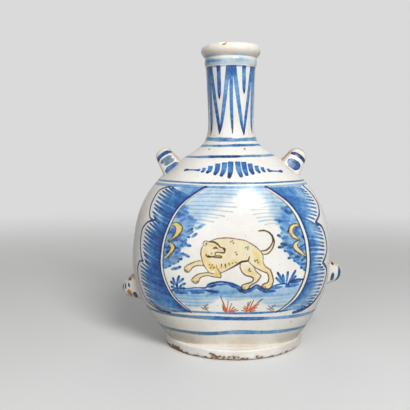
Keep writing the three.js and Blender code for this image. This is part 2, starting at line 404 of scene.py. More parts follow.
class Canvas:
    """The pigment lying on one piece, kept for each of its points."""

    def __init__(self, points: Array, flat: Array, painted: Array | None = None) -> None:
        """Starts a bare canvas.

        Args:
            points: Every point of the piece, in millimetres.
            flat: The drawing position of each point.
            painted: The numbers of the points that a brush can reach, if not all.
        """
        self.total = len(points)
        self.index = np.arange(self.total) if painted is None else painted.ravel()
        self.points = points[self.index]
        self.flat = flat[self.index]
        count = len(self.index)
        self.edge = np.full((len(Pigment), count), FAR)
        self.tone = np.zeros((len(Pigment), count))
        self.wash = np.zeros(count)
        self.bare = np.full(count, FAR)
        # How far each point is darkened: grime, and painted shade in hollows and low down.
        self.grime_and_shade = np.zeros(count)
        self.limit: Array | None = None

    def along(self, path: Array, half: Array, tone: Array) -> Triple:
        """Finds what a stroke covers.

        Args:
            path: The middle of the stroke on the clay.
            half: Half its width at each point of the path.
            tone: Its strength at each point of the path.

        Returns:
            The points near it, how far each lies inside its edge, and its strength there.
        """
        reach = float(half.max()) + MARGIN
        low, high = path.min(axis=0) - reach, path.max(axis=0) + reach
        at = np.flatnonzero(((self.points > low) & (self.points < high)).all(axis=1))
        spots = self.points[at]
        inside, depth = np.full(len(at), FAR), np.zeros(len(at))
        for i in range(len(path) - 1):
            run = path[i + 1] - path[i]
            part = np.clip((spots - path[i]) @ run / max(float(run @ run), 1e-9), 0.0, 1.0)
            gap = np.linalg.norm(spots - path[i] - part[:, None] * run, axis=1)
            here = half[i] + (half[i + 1] - half[i]) * part - gap
            nearer = here > inside
            inside = np.where(nearer, here, inside)
            depth = np.where(nearer, tone[i] + (tone[i + 1] - tone[i]) * part, depth)
        if self.limit is not None:
            inside = np.minimum(inside, self.limit[at])
        return at, inside, depth

    def lay(self, pigment: Pigment, at: Array, inside: Array, depth: Array) -> None:
        """Lays pigment with an edge.

        Args:
            pigment: The pigment.
            at: The points near the mark.
            inside: How far each lies inside the mark's edge.
            depth: The strength of the mark at each.
        """
        edge, tone = self.edge[pigment.value], self.tone[pigment.value]
        tone[at] = np.where(inside > edge[at], depth, tone[at])
        edge[at] = np.maximum(inside, edge[at])

    def soak(self, at: Array, inside: Array, depth: Array, soft: float) -> None:
        """Lays a thin wash whose edge fades out over the softness given."""
        amount = depth * smoothstep(-soft, soft, inside)
        self.wash[at] = 1.0 - (1.0 - self.wash[at]) * (1.0 - amount)

    def veil(self, amount: Array) -> None:
        """Lays a thin wash of the amount given at every point."""
        self.wash = 1.0 - (1.0 - self.wash) * (1.0 - amount)

    def reserve(self, at: Array, inside: Array) -> None:
        """Keeps blue off a mark, so that the white shows."""
        for pigment in (Pigment.COBALT, Pigment.NAVY):
            edge = self.edge[pigment.value]
            edge[at] = np.minimum(edge[at], -inside)
        self.wash[at] *= 1.0 - smoothstep(-0.5, 0.4, inside)

    def within(self, outline: Points, inset: float = 0.0) -> Array:
        """How far each point lies inside a drawn outline."""
        return inside_distance(self.flat, np.asarray(outline, float)) - inset

    def store(self, mesh: bpy.types.Mesh) -> None:
        """Writes the pigment to a mesh, for the glaze to read."""
        edge, tone = self.edge, self.tone
        cobalt, navy, brown, ochre, rust = (pigment.value for pigment in Pigment)
        sheets = {
            "blue": (self.wash, edge[cobalt], tone[cobalt]),
            "line": (edge[navy], tone[navy], edge[brown]),
            "warm": (edge[ochre], tone[ochre], tone[brown]),
            "worn": (edge[rust], self.bare, self.grime_and_shade),
        }
        plain = {
            "blue": (0.0, FAR, 0.0),
            "line": (FAR, 0.0, FAR),
            "warm": (FAR, 0.0, 0.0),
            "worn": (FAR, FAR, 0.0),
        }
        for name, columns in sheets.items():
            values = np.tile(np.array(plain[name], np.float32), (self.total, 1))
            values[self.index] = np.stack(columns, axis=1)
            layer = mesh.attributes.new(name, "FLOAT_VECTOR", "POINT")
            layer.data.foreach_set("vector", values.ravel())


@dataclass
class Brush:
    """A painter's hand on one canvas, drawing in one chart."""

    canvas: Canvas
    chart: Chart
    rng: np.random.Generator
    step: float = 1.2

    def _mark(self, points: Points, width: Sequence[float], tone: Sequence[float]) -> Triple:
        """Finds what a drawn stroke covers.

        Args:
            points: The drawn points.
            width: Widths at even steps along the stroke.
            tone: Strengths at even steps along the stroke.

        Returns:
            The points near it, how far each lies inside its edge, and its strength there.
        """
        path = self.chart.lift(smooth_path(points, self.step))
        along = run_lengths(path)
        along = along / max(along[-1], 1e-9)
        half = np.interp(along, np.linspace(0, 1, len(width)), width) / 2
        depth = np.interp(along, np.linspace(0, 1, len(tone)), tone)
        return self.canvas.along(path, half, depth)

    def stroke(
        self,
        points: Points,
        width: Sequence[float],
        tone: Sequence[float],
        pigment: Pigment = Pigment.COBALT,
    ) -> None:
        """Draws a stroke with an edge."""
        self.canvas.lay(pigment, *self._mark(points, width, tone))

    def glide(
        self, points: Points, width: Sequence[float], tone: Sequence[float], soft: float = 0.9
    ) -> None:
        """Draws a thin stroke of wash."""
        self.canvas.soak(*self._mark(points, width, tone), soft)

    def spare(self, points: Points, width: Sequence[float]) -> None:
        """Keeps blue off a stroke."""
        at, inside, _ = self._mark(points, width, (1.0,))
        self.canvas.reserve(at, inside)

    def deepen(self, points: Points, width: float, amount: float, pigment: Pigment) -> None:
        """Strengthens pigment softly along a stroke."""
        at, inside, _ = self._mark(points, (width,), (1.0,))
        self.canvas.tone[pigment.value][at] += amount * smoothstep(-0.1, width / 2, inside)

    def retone(self, points: Points, width: Sequence[float], tone: float, pigment: Pigment) -> None:
        """Changes the strength of pigment that lies under a stroke."""
        at, inside, _ = self._mark(points, width, (tone,))
        under = at[inside > 0.0]
        self.canvas.tone[pigment.value][under] = tone

    def fill(self, outline: Points, tone: float, pigment: Pigment) -> None:
        """Fills a drawn outline."""
        inside = self.canvas.within(outline)
        at = np.flatnonzero(inside > -MARGIN - 1.0)
        if self.canvas.limit is not None:
            inside = np.minimum(inside, self.canvas.limit)
        self.canvas.lay(pigment, at, inside[at], np.full(len(at), tone))

    def flood(self, outline: Points, tone: float, soft: float) -> None:
        """Fills a drawn outline with wash that fades at its edge."""
        inside = self.canvas.within(outline)
        if self.canvas.limit is not None:
            inside = np.minimum(inside, self.canvas.limit)
        at = np.flatnonzero(inside > -soft)
        self.canvas.soak(at, inside[at], np.full(len(at), tone), soft)

    def blank(self, outline: Points) -> None:
        """Keeps blue out of a drawn outline."""
        inside = self.canvas.within(outline)
        at = np.flatnonzero(inside > -MARGIN)
        self.canvas.reserve(at, inside[at])


@dataclass(frozen=True)
class LevelLine:
    """A brush line that runs round the bottle at one level.

    The line rises towards the seams, wavers with the turntable, and may have one stretch
    where the brush was freshly loaded.
    """

    height: float
    rise: float
    width: float
    tone: float
    waver: float = 0.25
    phase: float = 0.0
    tilt: float = 0.0
    loaded: tuple[float, float, float] | None = None
    pigment: Pigment = Pigment.COBALT

    def paint(self, brush: Brush, middle: float) -> None:
        """Paints the half of the line round one azimuth.

        Args:
            brush: The painter's hand, in a turning chart.
            middle: The azimuth in the middle of the half.
        """
        azimuth = np.arange(-96.0, 96.1, 1.5) + middle
        turn = np.radians(azimuth)
        ripple = 0.6 * np.sin(3 * turn + self.phase) + 0.4 * np.sin(7 * turn + 2.1 * self.phase)
        height = self.height + self.rise * np.sin(turn) ** 2 + self.tilt * np.sin(
            turn
        ) + self.waver * ripple
        path = brush.chart.lift(np.stack([azimuth, height], axis=1))
        swell = 0.1 * np.sin(4 * turn + 1.7 * self.phase) + 0.07 * np.sin(11 * turn + self.phase)
        width = self.width * (1.0 + swell)
        drift = 0.12 * np.sin(2 * turn + self.phase) + 0.07 * np.sin(9 * turn - self.phase)
        tone = self.tone * (1.0 + drift)
        if self.loaded and middle == Side.FRONT.value:
            start, end, strong = self.loaded
            fresh = smoothstep(start - 4, start + 4, azimuth) * (1 - smoothstep(end - 4, end + 4, azimuth))
            tone = tone + (strong - tone) * fresh
        brush.canvas.lay(self.pigment, *brush.canvas.along(path, width / 2, tone))


BODY_LINES = (
    LevelLine(193.4, 0.4, 3.0, 0.56, waver=0.2, phase=0.4, tilt=0.5),
    LevelLine(183.3, 0.4, 3.2, 0.5, waver=0.2, phase=2.2, tilt=0.9, loaded=(-34.0, 10.0, 0.84)),
    LevelLine(159.4, 1.2, 1.9, 0.5, waver=0.2, phase=1.1),
    LevelLine(155.9, 1.4, 2.7, 0.42, waver=0.15, phase=3.0),
    LevelLine(37.6, 0.0, 3.4, 0.45, waver=0.2, phase=5.1, tilt=-1.4, loaded=(-20.0, 25.0, 0.72)),
    LevelLine(23.5, -1.4, 3.6, 0.46, waver=1.0, phase=0.75),
)
NECK_LINES = (
    LevelLine(198.7, 1.4, 4.0, 0.46, waver=0.15, phase=1.6),
    LevelLine(198.7, 1.4, 3.8, 0.14, waver=0.15, phase=1.6, pigment=Pigment.BROWN),
)
SMOKE_LINES = tuple(
    replace(BODY_LINES[i], width=width, tone=tone, loaded=loaded, pigment=Pigment.BROWN)
    for i, width, tone, loaded in (
        (0, 2.8, 0.12, None),
        (1, 3.0, 0.16, None),
        (2, 1.8, 0.3, None),
        (4, 3.3, 0.0, (-80.0, -22.0, 0.26)),
        (5, 3.5, 0.0, (-55.0, -8.0, 0.22)),
    )
)


@dataclass(frozen=True)
class NeckRays:
    """Tall zigzag of pointed rays round the neck, with straight rays between them."""

    period: float = 60.0
    first: float = -1.5
    top: float = 268.0
    foot: float = 204.6
    collar: float = 272.7

    def paint(self, brush: Brush) -> None:
        """Paints the rays, cut off level at the top, and the pale collar over them."""
        rng = brush.rng
        brush.canvas.limit = self.top - brush.canvas.flat[:, 1]
        for k in range(6):
            middle = self.first + k * self.period
            for lean in (-1, 1):
                low = self.foot + rng.uniform(-1.2, 1.2)
                tip = middle + lean * (self.period / 2 - 0.6)
                start = middle + lean * rng.uniform(5.0, 7.0)
                bow = ((start + tip) / 2 - lean * 1.2, (self.top + low) / 2)
                self._ray(brush, ((start, self.top), bow, (tip, low)), rng.uniform(3.8, 4.3))
            broad = 1.4 if k in (1, 5) else 1.0
            bow = (middle + rng.uniform(-1, 1), 236.0)
            tip = (middle + rng.uniform(-1.5, 1.5), self.foot + rng.uniform(-2, 1.5))
            self._ray(brush, ((middle, self.top), bow, tip), broad * rng.uniform(3.3, 3.9))
            between = middle + self.period / 2
            tip = (between + rng.uniform(-1.5, 1.5), 240.0 + rng.uniform(-3, 3))
            self._ray(brush, ((between, self.top), tip), 1.2 * rng.uniform(3.2, 3.7))
        brush.canvas.limit = None
        turns = np.arange(0.0, 361.0, 3.0)
        waver = 0.3 * np.sin(np.radians(turns) * 5)
        path = brush.chart.lift(np.stack([turns, self.collar + waver], axis=1))
        width = 4.2 + 0.9 * np.sin(np.radians(turns) * 4 + 1.0)
        pooled = smoothstep(0.5, 1.0, np.cos(np.radians(turns + 58.0)))
        tone = 0.22 + 0.1 * np.sin(np.radians(turns) * 5) + 0.28 * pooled
        brush.canvas.soak(*brush.canvas.along(path, width / 2, tone), 1.6)
        crown = brush.chart.lift(np.stack([turns, np.full(len(turns), self.top - 0.3)], axis=1))
        crown_tone = 0.4 + 0.14 * np.sin(np.radians(turns) * 7)
        brush.canvas.soak(*brush.canvas.along(crown, np.full(len(turns), 0.8), crown_tone), 0.6)

    def _ray(self, brush: Brush, points: Points, width: float) -> None:
        """Paints one ray, broad down its length, with a dark pointed end."""
        strong = brush.rng.uniform(0.56, 0.7)
        widths = [width * part for part in (1.08, 1.0, 1.0, 1.0, 0.98, 0.96, 0.94, 0.9, 0.82, 0.62, 0.2)]
        tones = [strong + more for more in (
            0.22, 0.1, 0.02, -0.04, -0.02, 0.02, 0.04, 0.06, 0.1, 0.22, 0.4
        )]
        brush.stroke(points, widths, tones)
        turn, low = points[-1]
        brush.stroke(((turn, low + 2.6), (turn, low + 0.2)), (0.36 * width, 1.0), (0.7, 1.0), Pigment.NAVY)


@dataclass(frozen=True)
class Garland:
    """Row of upright leaf strokes under the shoulder line, with a bud at each end."""

    leaves: Points = (
        (-31.5, 171.8, -32.5, 169.9, 2.5), (-27, 173, -29.4, 168.6, 3.4),
        (-21.3, 174.6, -24.4, 167.8, 4.5), (-14.6, 176.8, -17.6, 166.4, 4.8),
        (-8.4, 177.8, -11.8, 165.2, 4.8), (-2.9, 178.6, -4.8, 163.7, 5), (3.2, 178.6, 6, 164.4, 5),
        (8.9, 178.2, 11.2, 165.8, 4.9), (14.6, 176.8, 16.9, 166.9, 4.8), (20.6, 174.8, 22.9, 168, 4.2),
        (26, 173.4, 28, 168.8, 3.7), (31.6, 172, 33.6, 169, 3.3),
    )
    tails: Sequence[Points] = (
        ((-33.5, 170.9), (-38, 171), (-43.4, 170.8)), ((34.4, 170.2), (39, 169.8), (44.6, 169.5)),
    )

    def paint(self, brush: Brush) -> None:
        """Paints the leaves, swept outwards at the foot, and the tails with their buds."""
        for head, high, foot, low, width in self.leaves:
            bow = (head + 0.3 * (foot - head), (high + low) / 2)
            strong = brush.rng.uniform(0.66, 0.75)
            brush.canvas.limit = high + 0.2 - brush.canvas.flat[:, 1]
            points = ((head, high + 1.2), bow, (foot, low + 0.3 * width))
            widths = (width, width, width, width * 0.95, width * 0.7)
            brush.stroke(points, widths, (0.95, strong, strong - 0.04, strong, 0.95))
        brush.canvas.limit = None
        for tail, bud in zip(self.tails, (3.2, 3.6)):
            brush.stroke(tail, (2.1, 1.5, 1.4, 1.6, 1.9), (0.9, 0.8, 0.85, 0.9, 0.95), Pigment.NAVY)
            end = np.array(tail[-1])
            brush.stroke(
                (end - (1.6, 0.1), end + (0.9, 0.2)),
                (bud * 0.8, bud, bud * 0.75),
                (0.9, 0.85, 0.95),
                Pigment.NAVY,
            )


@dataclass(frozen=True)
class Panel:
    """The framed medallion of one face: ring, blue side bands with fringes, and scalloped outlines."""

    middle: float = 0.7
    ring: Points = (
        (156.4, 25), (154.8, 28.8), (149.5, 37), (142, 46.6), (132.5, 54.4), (121, 60.4), (108, 65.1),
        (94.5, 67), (84.4, 67.1), (73.9, 65.1), (63.5, 60.8), (55, 55.2), (48.9, 48.8), (43.6, 41.4),
        (42.4, 39),
    )
    left_edge: Points = (
        (-58.2, 155.7), (-63.4, 154.5), (-69.4, 151.5), (-74, 144.9), (-77.2, 137.6), (-78.3, 130.4),
        (-77.4, 126.5), (-73.9, 124.7), (-80, 122.6), (-85.4, 116), (-87.1, 107.5), (-87.5, 99.2),
        (-86.1, 90.2), (-84.3, 86.5), (-88, 85), (-90, 78.1), (-89.4, 68), (-86.9, 57.5), (-83.6, 49.5),
        (-78.1, 44.6), (-70, 41.2), (-60, 40.2),
    )
    right_edge: Points = (
        (66.8, 155.9), (75, 148.1), (80.9, 138.6), (81.1, 129.7), (77.3, 124), (76.1, 122.3), (83, 117.8),
        (87.6, 107.9), (89.3, 96.4), (87.2, 89.4), (84, 84.4), (88.9, 77.4), (88.8, 69.5), (84.1, 56.7),
        (75.4, 46.8), (65, 42), (55, 40.4),
    )
    left_cusps: Sequence[int] = (7, 13)
    right_cusps: Sequence[int] = (5, 10)
    lower_edge: Points = (
        (-74, 45.6), (-68, 43.2), (-58.3, 42.2), (-49, 42.8), (-39, 43.4), (-21.9, 43.1), (-3, 42.5),
        (18.8, 42.6), (37.2, 42.9), (51.6, 44), (59.4, 45.2), (66, 47.8),
    )
    top: float = 155.4
    ring_white: tuple[float, float] = (1.5, 2.7)

    def ring_side(self, sign: int, offset: float = 0.0) -> Array:
        """The ring's left (-1) or right (1) half from top to bottom, moved outwards by an offset."""
        table = np.asarray(self.ring, float)
        return np.stack([self.middle + sign * (table[:, 1] + offset), table[:, 0]], axis=1)

    def ring_at(self, sign: int, height: float) -> float:
        """Where the ring's left or right half stands at a height."""
        table = np.asarray(self.ring, float)[::-1]
        return self.middle + sign * float(np.interp(height, table[:, 0], table[:, 1]))

    @cached_property
    def opening(self) -> Array:
        """The outline of the picture inside the ring."""
        left, right = smooth_path(self.ring_side(-1), 2.0), smooth_path(self.ring_side(1), 2.0)
        return np.vstack([left, right[::-1]])

    def edge_side(self, sign: int) -> Array:
        """The scalloped outline of one side, with its cusps kept sharp."""
        left, right = (self.left_edge, self.left_cusps), (self.right_edge, self.right_cusps)
        points, cusps = left if sign < 0 else right
        cuts = (0, *cusps, len(points) - 1)
        parts = [smooth_path(points[a : b + 1], 1.0) for a, b in zip(cuts, cuts[1:])]
        return np.vstack([parts[0], *(part[1:] for part in parts[1:])])

    def paint_bands(self, brush: Brush) -> None:
        """Paints the blue bands beside the ring with their fringes."""
        for sign in (-1, 1):
            edge = self.edge_side(sign)
            ring = smooth_path(self.ring_side(sign, 0.6), 2.0)
            area = np.vstack([ring, [[sign * 58.0, 42.6]], edge[::-1]])
            keep = np.minimum(brush.canvas.within(area), self.top - brush.canvas.flat[:, 1])
            brush.canvas.limit = keep
            beyond = np.vstack([edge, [[0.0, 5.0], [0.0, 200.0], [edge[0, 0], 200.0]]])
            depth = brush.canvas.within(beyond)
            bare_fringe = 4.5 if sign < 0 else 8.0
            off_ring = -brush.canvas.within(self.opening)
            thin = 1.0 - 0.4 * (sign < 0) * (1.0 - smoothstep(52.0, 80.0, brush.canvas.flat[:, 1]))
            wash = thin * (0.46 if sign < 0 else 0.38) * smoothstep(bare_fringe, bare_fringe + 6.5, depth)
            brush.canvas.veil((wash + 0.2 * (1 - smoothstep(0.0, 9.0, off_ring))) * (keep > -0.4))
            self._fringe(brush, sign, edge)
            brush.canvas.limit = None

    def _fringe(self, brush: Brush, sign: int, edge: Array) -> None:
        """Paints one band as close strokes that start at the ring and end in a fringe.

        Args:
            brush: The painter's hand.
            sign: -1 for the left band, 1 for the right.
            edge: The scalloped outline of that side.
        """
        rng = brush.rng
        length = run_lengths(edge)
        for station in np.arange(1.5, length[-1] - 9.0, 3.55):
            station = station + rng.uniform(-0.35, 0.35)
            tip = np.array([np.interp(station, length, edge[:, i]) for i in (0, 1)])
            inset = rng.uniform(2.5, 3.6)
            tip[0] -= sign * inset
            low = 46.5 if sign < 0 else 47.5
            upper = float(smoothstep(84.0, 112.0, tip[1]))
            drop = 9.0 if sign < 0 else -0.4 - 5.6 * upper
            root_height = min(max(tip[1] - drop, low), 153.0)
            root = np.array([self.ring_at(sign, root_height) - sign * 1.0, root_height])
            if abs(root[0]) > abs(tip[0]) - 3.0:
                continue
            sink = 6.8 if sign < 0 else -2.0 - 3.0 * upper
            bend = np.array([tip[0] * 0.5 + root[0] * 0.5, tip[1] - sink])
            strong = rng.uniform(0.44, 0.68) if sign < 0 else rng.uniform(0.34, 0.58)
            strong -= (0.18 if sign < 0 else 0.1) * (1.0 - float(smoothstep(52.0, 80.0, tip[1])))
            full = rng.uniform(2.6, 3.6)
            span = float(np.linalg.norm(tip - root))
            lead = min(0.8, (11.5 if sign < 0 else 13.5) / span)
            curve = bezier((root, bend, tip), 12)
            stops = np.array([0.0, 1.0 - lead, 1.0 - 0.6 * lead, 1.0 - 0.3 * lead, 1.0 - 0.1 * lead, 1.0])
            high = float(smoothstep(118.0, 140.0, tip[1]))
            width = np.interp(np.linspace(0, 1, 13), stops, (full, full, 2.3, 1.9, 1.6, 1.1))
            root_tone, stem_tone = strong + 0.2 - 0.26 * high, strong - 0.06 * high
            tones = (root_tone, stem_tone, strong + 0.06, strong + 0.2, 0.95, 1.0)
            tone = np.interp(np.linspace(0, 1, 13), stops, tones)
            brush.stroke(curve, width, tone)

    def paint_frame(self, brush: Brush) -> None:
        """Paints the white ring, the thin lines along it, the scallops and the lower edge."""
        for sign in (-1, 1):
            white = self.ring_white[0 if sign < 0 else 1]
            ring = self.ring_side(sign)
            brush.spare(ring, (white * 0.7, white, white * 1.05, white, white))
            inner = self.ring_side(sign, -white / 2 - 0.55)
            heavy = 0.8 if sign < 0 else 1.1
            widths = [heavy * part for part in (0.8, 1.1, 1.3, 1.4, 1.4, 1.2)]
            brush.stroke(inner, widths, (0.3, 0.5, 0.74, 0.8, 0.86, 0.75), Pigment.BROWN)
            outer = self.ring_side(sign, white / 2 + 0.7)
            brush.stroke(outer, (2.0, 1.9, 1.7, 1.5, 1.3), (0.95, 0.8, 0.8, 0.7, 0.6), Pigment.NAVY)
            edge = self.edge_side(sign)
            bold = 1.0 if sign < 0 else 1.55
            widths = [bold * part for part in (1.7, 1.9, 1.5, 1.8, 1.6, 1.9, 1.5, 1.8, 1.9)]
            tones = (0.9, 1.0, 0.9, 1.0, 0.92, 1.0, 0.94, 1.0, 0.85)
            brush.stroke(edge, widths, tones, Pigment.NAVY)
        brush.stroke(self.lower_edge, (1.6, 1.4, 1.9, 2.2, 1.9, 1.5), (0.6, 0.5, 0.5, 0.6, 0.66, 0.62))
        brush.stroke(self.lower_edge[:6], (2.6, 3.0, 2.0), (0.3, 0.28, 0.1), Pigment.BROWN)


@dataclass(frozen=True)
class Sky:
    """Pale streaks of wash above the horizon."""

    left: Sequence[Points] = (
        ((-34.3, 152.9), (3.3, 153.2)), ((-37.9, 149.4), (1.4, 150.6)), ((-40.6, 146.7), (-3.1, 147.1)),
        ((-43.3, 143.1), (-1.4, 143.2)), ((-45.1, 139.5), (1.2, 138.8)), ((-39.7, 136.6), (-2.4, 134.8)),
        ((-39.7, 133.2), (-9.5, 131.3)), ((-41.5, 130.4), (-15.7, 129.1)), ((-41.5, 127.6), (-19.3, 126)),
        ((-42, 124.6), (-26.4, 123.3)), ((-43.3, 122), (-34.4, 120.5)),
    )
    right: Sequence[Points] = (
        ((30.6, 152.9), (12.3, 153.2)), ((35.1, 149.3), (15.8, 149.6)), ((40.7, 145.7), (21.2, 146.1)),
        ((44.3, 142), (24.7, 142.5)), ((47, 138.4), (24.6, 139)), ((45, 135.4), (13.7, 136.1)),
        ((41.1, 132.5), (15.5, 133)), ((43, 129.3), (19.1, 129.9)), ((41, 126.3), (20.8, 126.8)),
        ((39.1, 123.3), (26.2, 123.6)),
    )
    left_haze: Points = (
        (-48, 159), (30, 159), (6, 152), (-10, 142), (-24, 133), (-34, 122), (-47, 122), (-56, 136),
    )
    right_haze: Points = (
        (10, 159), (44, 159), (56, 138), (47, 122), (38, 124), (30, 138), (22, 148),
    )

    def paint(self, brush: Brush) -> None:
        """Paints the wash and its streaks."""
        brush.flood(self.left_haze, 0.23, 5.0)
        brush.flood(self.right_haze, 0.29, 5.0)
        for streak, strong in [*((s, 0.17) for s in self.left), *((s, 0.15) for s in self.right)]:
            strong = strong * brush.rng.uniform(0.6, 1.4)
            (x0, z0), (x1, z1) = streak
            lift = brush.rng.uniform(-0.6, 0.6)
            path = ((x0, z0 + lift), ((x0 + x1) / 2, (z0 + z1) / 2 + 0.5), (x1, z1 + lift - 0.4))
            brush.glide(path, (1.6, 1.4, 1.1, 0.9), (strong, strong, strong * 1.2, strong * 1.5), 0.6)
            brush.stroke(path, (0.9, 0.9, 0.8, 0.7), (0.08, 0.1, 0.12, 0.14), Pigment.BROWN)


@dataclass(frozen=True)
class Trees:
    """Dark foliage at both sides of the picture, with an ochre crescent fruit in its heart."""

    left_mass: Points = (
        (-49.5, 141), (-43.5, 138), (-42, 132), (-38, 127.5), (-36.5, 123), (-40, 119), (-39.5, 115.5),
        (-43, 111.5), (-46, 107.5), (-44, 104), (-50, 100), (-48.5, 96.5), (-47, 94), (-50, 91),
        (-52.5, 87.5), (-58, 85.5), (-66, 84), (-68, 96), (-66, 110), (-60, 124),
    )
    right_mass: Points = (
        (50, 141), (44.5, 138), (40.5, 132), (38.5, 127), (40, 122), (41.5, 117), (40.5, 113), (43, 108),
        (42, 103), (44.5, 99.5), (48, 96.5), (50, 93), (54, 90.5), (58, 88), (61, 84.5), (67, 82.5),
        (69, 95), (67, 110), (61, 124),
    )
    canopy: float = 120.0
    left_leaves: Points = (
        (-41.5, 137), (-41.5, 132.6), (-34.4, 126.7), (-28.2, 123.2), (-38, 119.5), (-34.4, 115.2),
        (-40.7, 111.5), (-44.3, 108.7), (-44.3, 106), (-39.8, 103.9), (-49.2, 100.4), (-46.1, 96.9),
        (-41.2, 94), (-47.4, 91.9), (-48.8, 85.1), (-57.9, 85.4), (-61.6, 83.3), (-46, 131.6),
        (-45.1, 128.1), (-50.6, 89.5), (-54.2, 87.5),
    )
    right_leaves: Points = (
        (41.3, 136.9), (45, 135), (35.4, 127.4), (40, 121), (42.8, 117.4), (43.2, 114.2), (37.6, 113.6),
        (43.7, 108), (47.4, 106.5), (42.7, 104), (38.6, 102.4), (44.1, 99), (48.9, 97.4), (47.9, 92),
        (53.2, 89.9), (56.6, 88.7), (58.6, 86.8), (59.6, 83), (64.1, 83.1),
    )
    crescents: Sequence[tuple[Points, Points]] = (
        (
            ((-56.9, 123.2), (-52.4, 124.3), (-47.8, 121), (-48.3, 116.5), (-52.4, 111.9), (-59.7, 107)),
            ((-56.9, 121.9), (-54.2, 120.7), (-53.7, 116.3), (-56, 111.7), (-60.1, 107.9)),
        ),
        (
            ((-60.6, 106.1), (-56.5, 105.4), (-54.2, 102), (-56, 98.2), (-60.6, 93.4), (-63.4, 90.5)),
            ((-59.7, 104.3), (-58.3, 101.7), (-59.7, 98), (-63.4, 93.2)),
        ),
        (
            ((58.2, 122.4), (52.4, 122.7), (48.9, 119.8), (48.9, 115.3), (52.2, 110.7), (59, 108.1)),
            ((57.7, 120.7), (54.2, 120), (52.3, 117), (54.1, 113.3), (59, 109)),
        ),
        (
            ((59, 107.6), (55.1, 106.5), (52.7, 103.5), (54.1, 99.8), (59, 95.9), (66, 92.1)),
            ((59, 106.3), (57, 104.1), (58, 101.4), (61.9, 97.5), (65.9, 93.5)),
        ),
    )

    def paint(self, brush: Brush) -> None:
        """Paints both trees."""
        sides = ((self.left_mass, self.left_leaves, -1), (self.right_mass, self.right_leaves, 1))
        for mass, leaves, sign in sides:
            self._foliage(brush, np.asarray(mass, float), np.asarray(leaves, float), sign)
        for outer, inner in self.crescents:
            self._crescent(brush, outer, inner)

    def _foliage(self, brush: Brush, mass: Array, leaves: Array, sign: int) -> None:
        """Paints one tree.

        Args:
            brush: The painter's hand.
            mass: The outline of the solid foliage.
            leaves: The tips of the leaf strokes.
            sign: -1 for the left tree, 1 for the right.
        """
        rng = brush.rng
        brush.flood(mass, 0.22, 4.0)
        brush.fill(mass, 0.36, Pigment.COBALT)
        for _ in range(150):
            spot = np.array([sign * rng.uniform(37.0, 67.0), rng.uniform(84.0, 138.0)])
            if inside_distance(spot[None, :], mass)[0] < 1.0:
                continue
            turn = rng.uniform(-0.9, 0.9)
            reach = rng.uniform(1.4, 2.8) * np.array([math.cos(turn), math.sin(turn)])
            strong = rng.choice([0.18, 0.26, 0.34, 0.52, 0.64, 0.74])
            brush.retone((spot - reach, spot + reach), (2.0, 2.4, 1.8), strong, Pigment.COBALT)
        here = sign * brush.canvas.flat[:, 0] > 0.0
        pale = here * smoothstep(112.0, 132.0, brush.canvas.flat[:, 1])
        brush.canvas.tone[Pigment.COBALT.value] *= 1.0 - 0.66 * pale
        for tip in leaves:
            for echo in range(2):
                aside = sign * rng.uniform(2.2, 4.4)
                end = tip + echo * np.array([aside, rng.choice((-1, 1)) * rng.uniform(1.6, 3.2)])
                turn = rng.uniform(-0.75, 0.55)
                away = rng.uniform(4.8, 6.6) * np.array([sign * math.cos(turn), math.sin(turn)])
                strong = rng.uniform(0.42, 0.56)
                path = (end + away, end + away * 0.5, end + away * 0.14)
                if end[1] > self.canopy:
                    brush.glide(path, (2.2, 2.8, 2.8, 2.2), (0.25, 0.36, 0.46, 0.46), 0.7)
                    continue
                brush.stroke(
                    path, (2.0, 2.6, 2.8, 2.3), (strong, strong, strong + 0.14, 0.86 - 0.12 * echo)
                )
                if rng.random() < 0.3:
                    brush.stroke(path, (1.8, 2.4, 2.4, 2.0), (0.2, 0.26, 0.3, 0.3), Pigment.BROWN)

    def _crescent(self, brush: Brush, outer: Points, inner: Points) -> None:
        """Paints one ochre crescent with its outlines."""
        bow, hollow = smooth_path(outer, 1.2), smooth_path(inner, 1.2)
        shape = np.vstack([bow, hollow[::-1]])
        heart = hollow.mean(axis=0)
        brush.deepen((heart + (0.0, 2.4), heart - (0.0, 2.4)), 7.0, 0.34, Pigment.COBALT)
        brush.blank(shape)
        brush.fill(shape, 0.5 if bow[0, 0] < 0.0 else 0.38, Pigment.OCHRE)
        middle = bow[len(bow) // 3]
        brush.deepen((middle + (0.0, 1.4), middle - (0.0, 2.4)), 4.0, 0.2, Pigment.OCHRE)
        brush.stroke(outer, (0.9, 1.2, 1.3, 1.2, 0.9), (0.6, 0.75, 0.8, 0.75, 0.6), Pigment.BROWN)
        brush.stroke(inner, (0.8, 1.0, 1.0, 0.8), (0.55, 0.7, 0.7, 0.55), Pigment.BROWN)


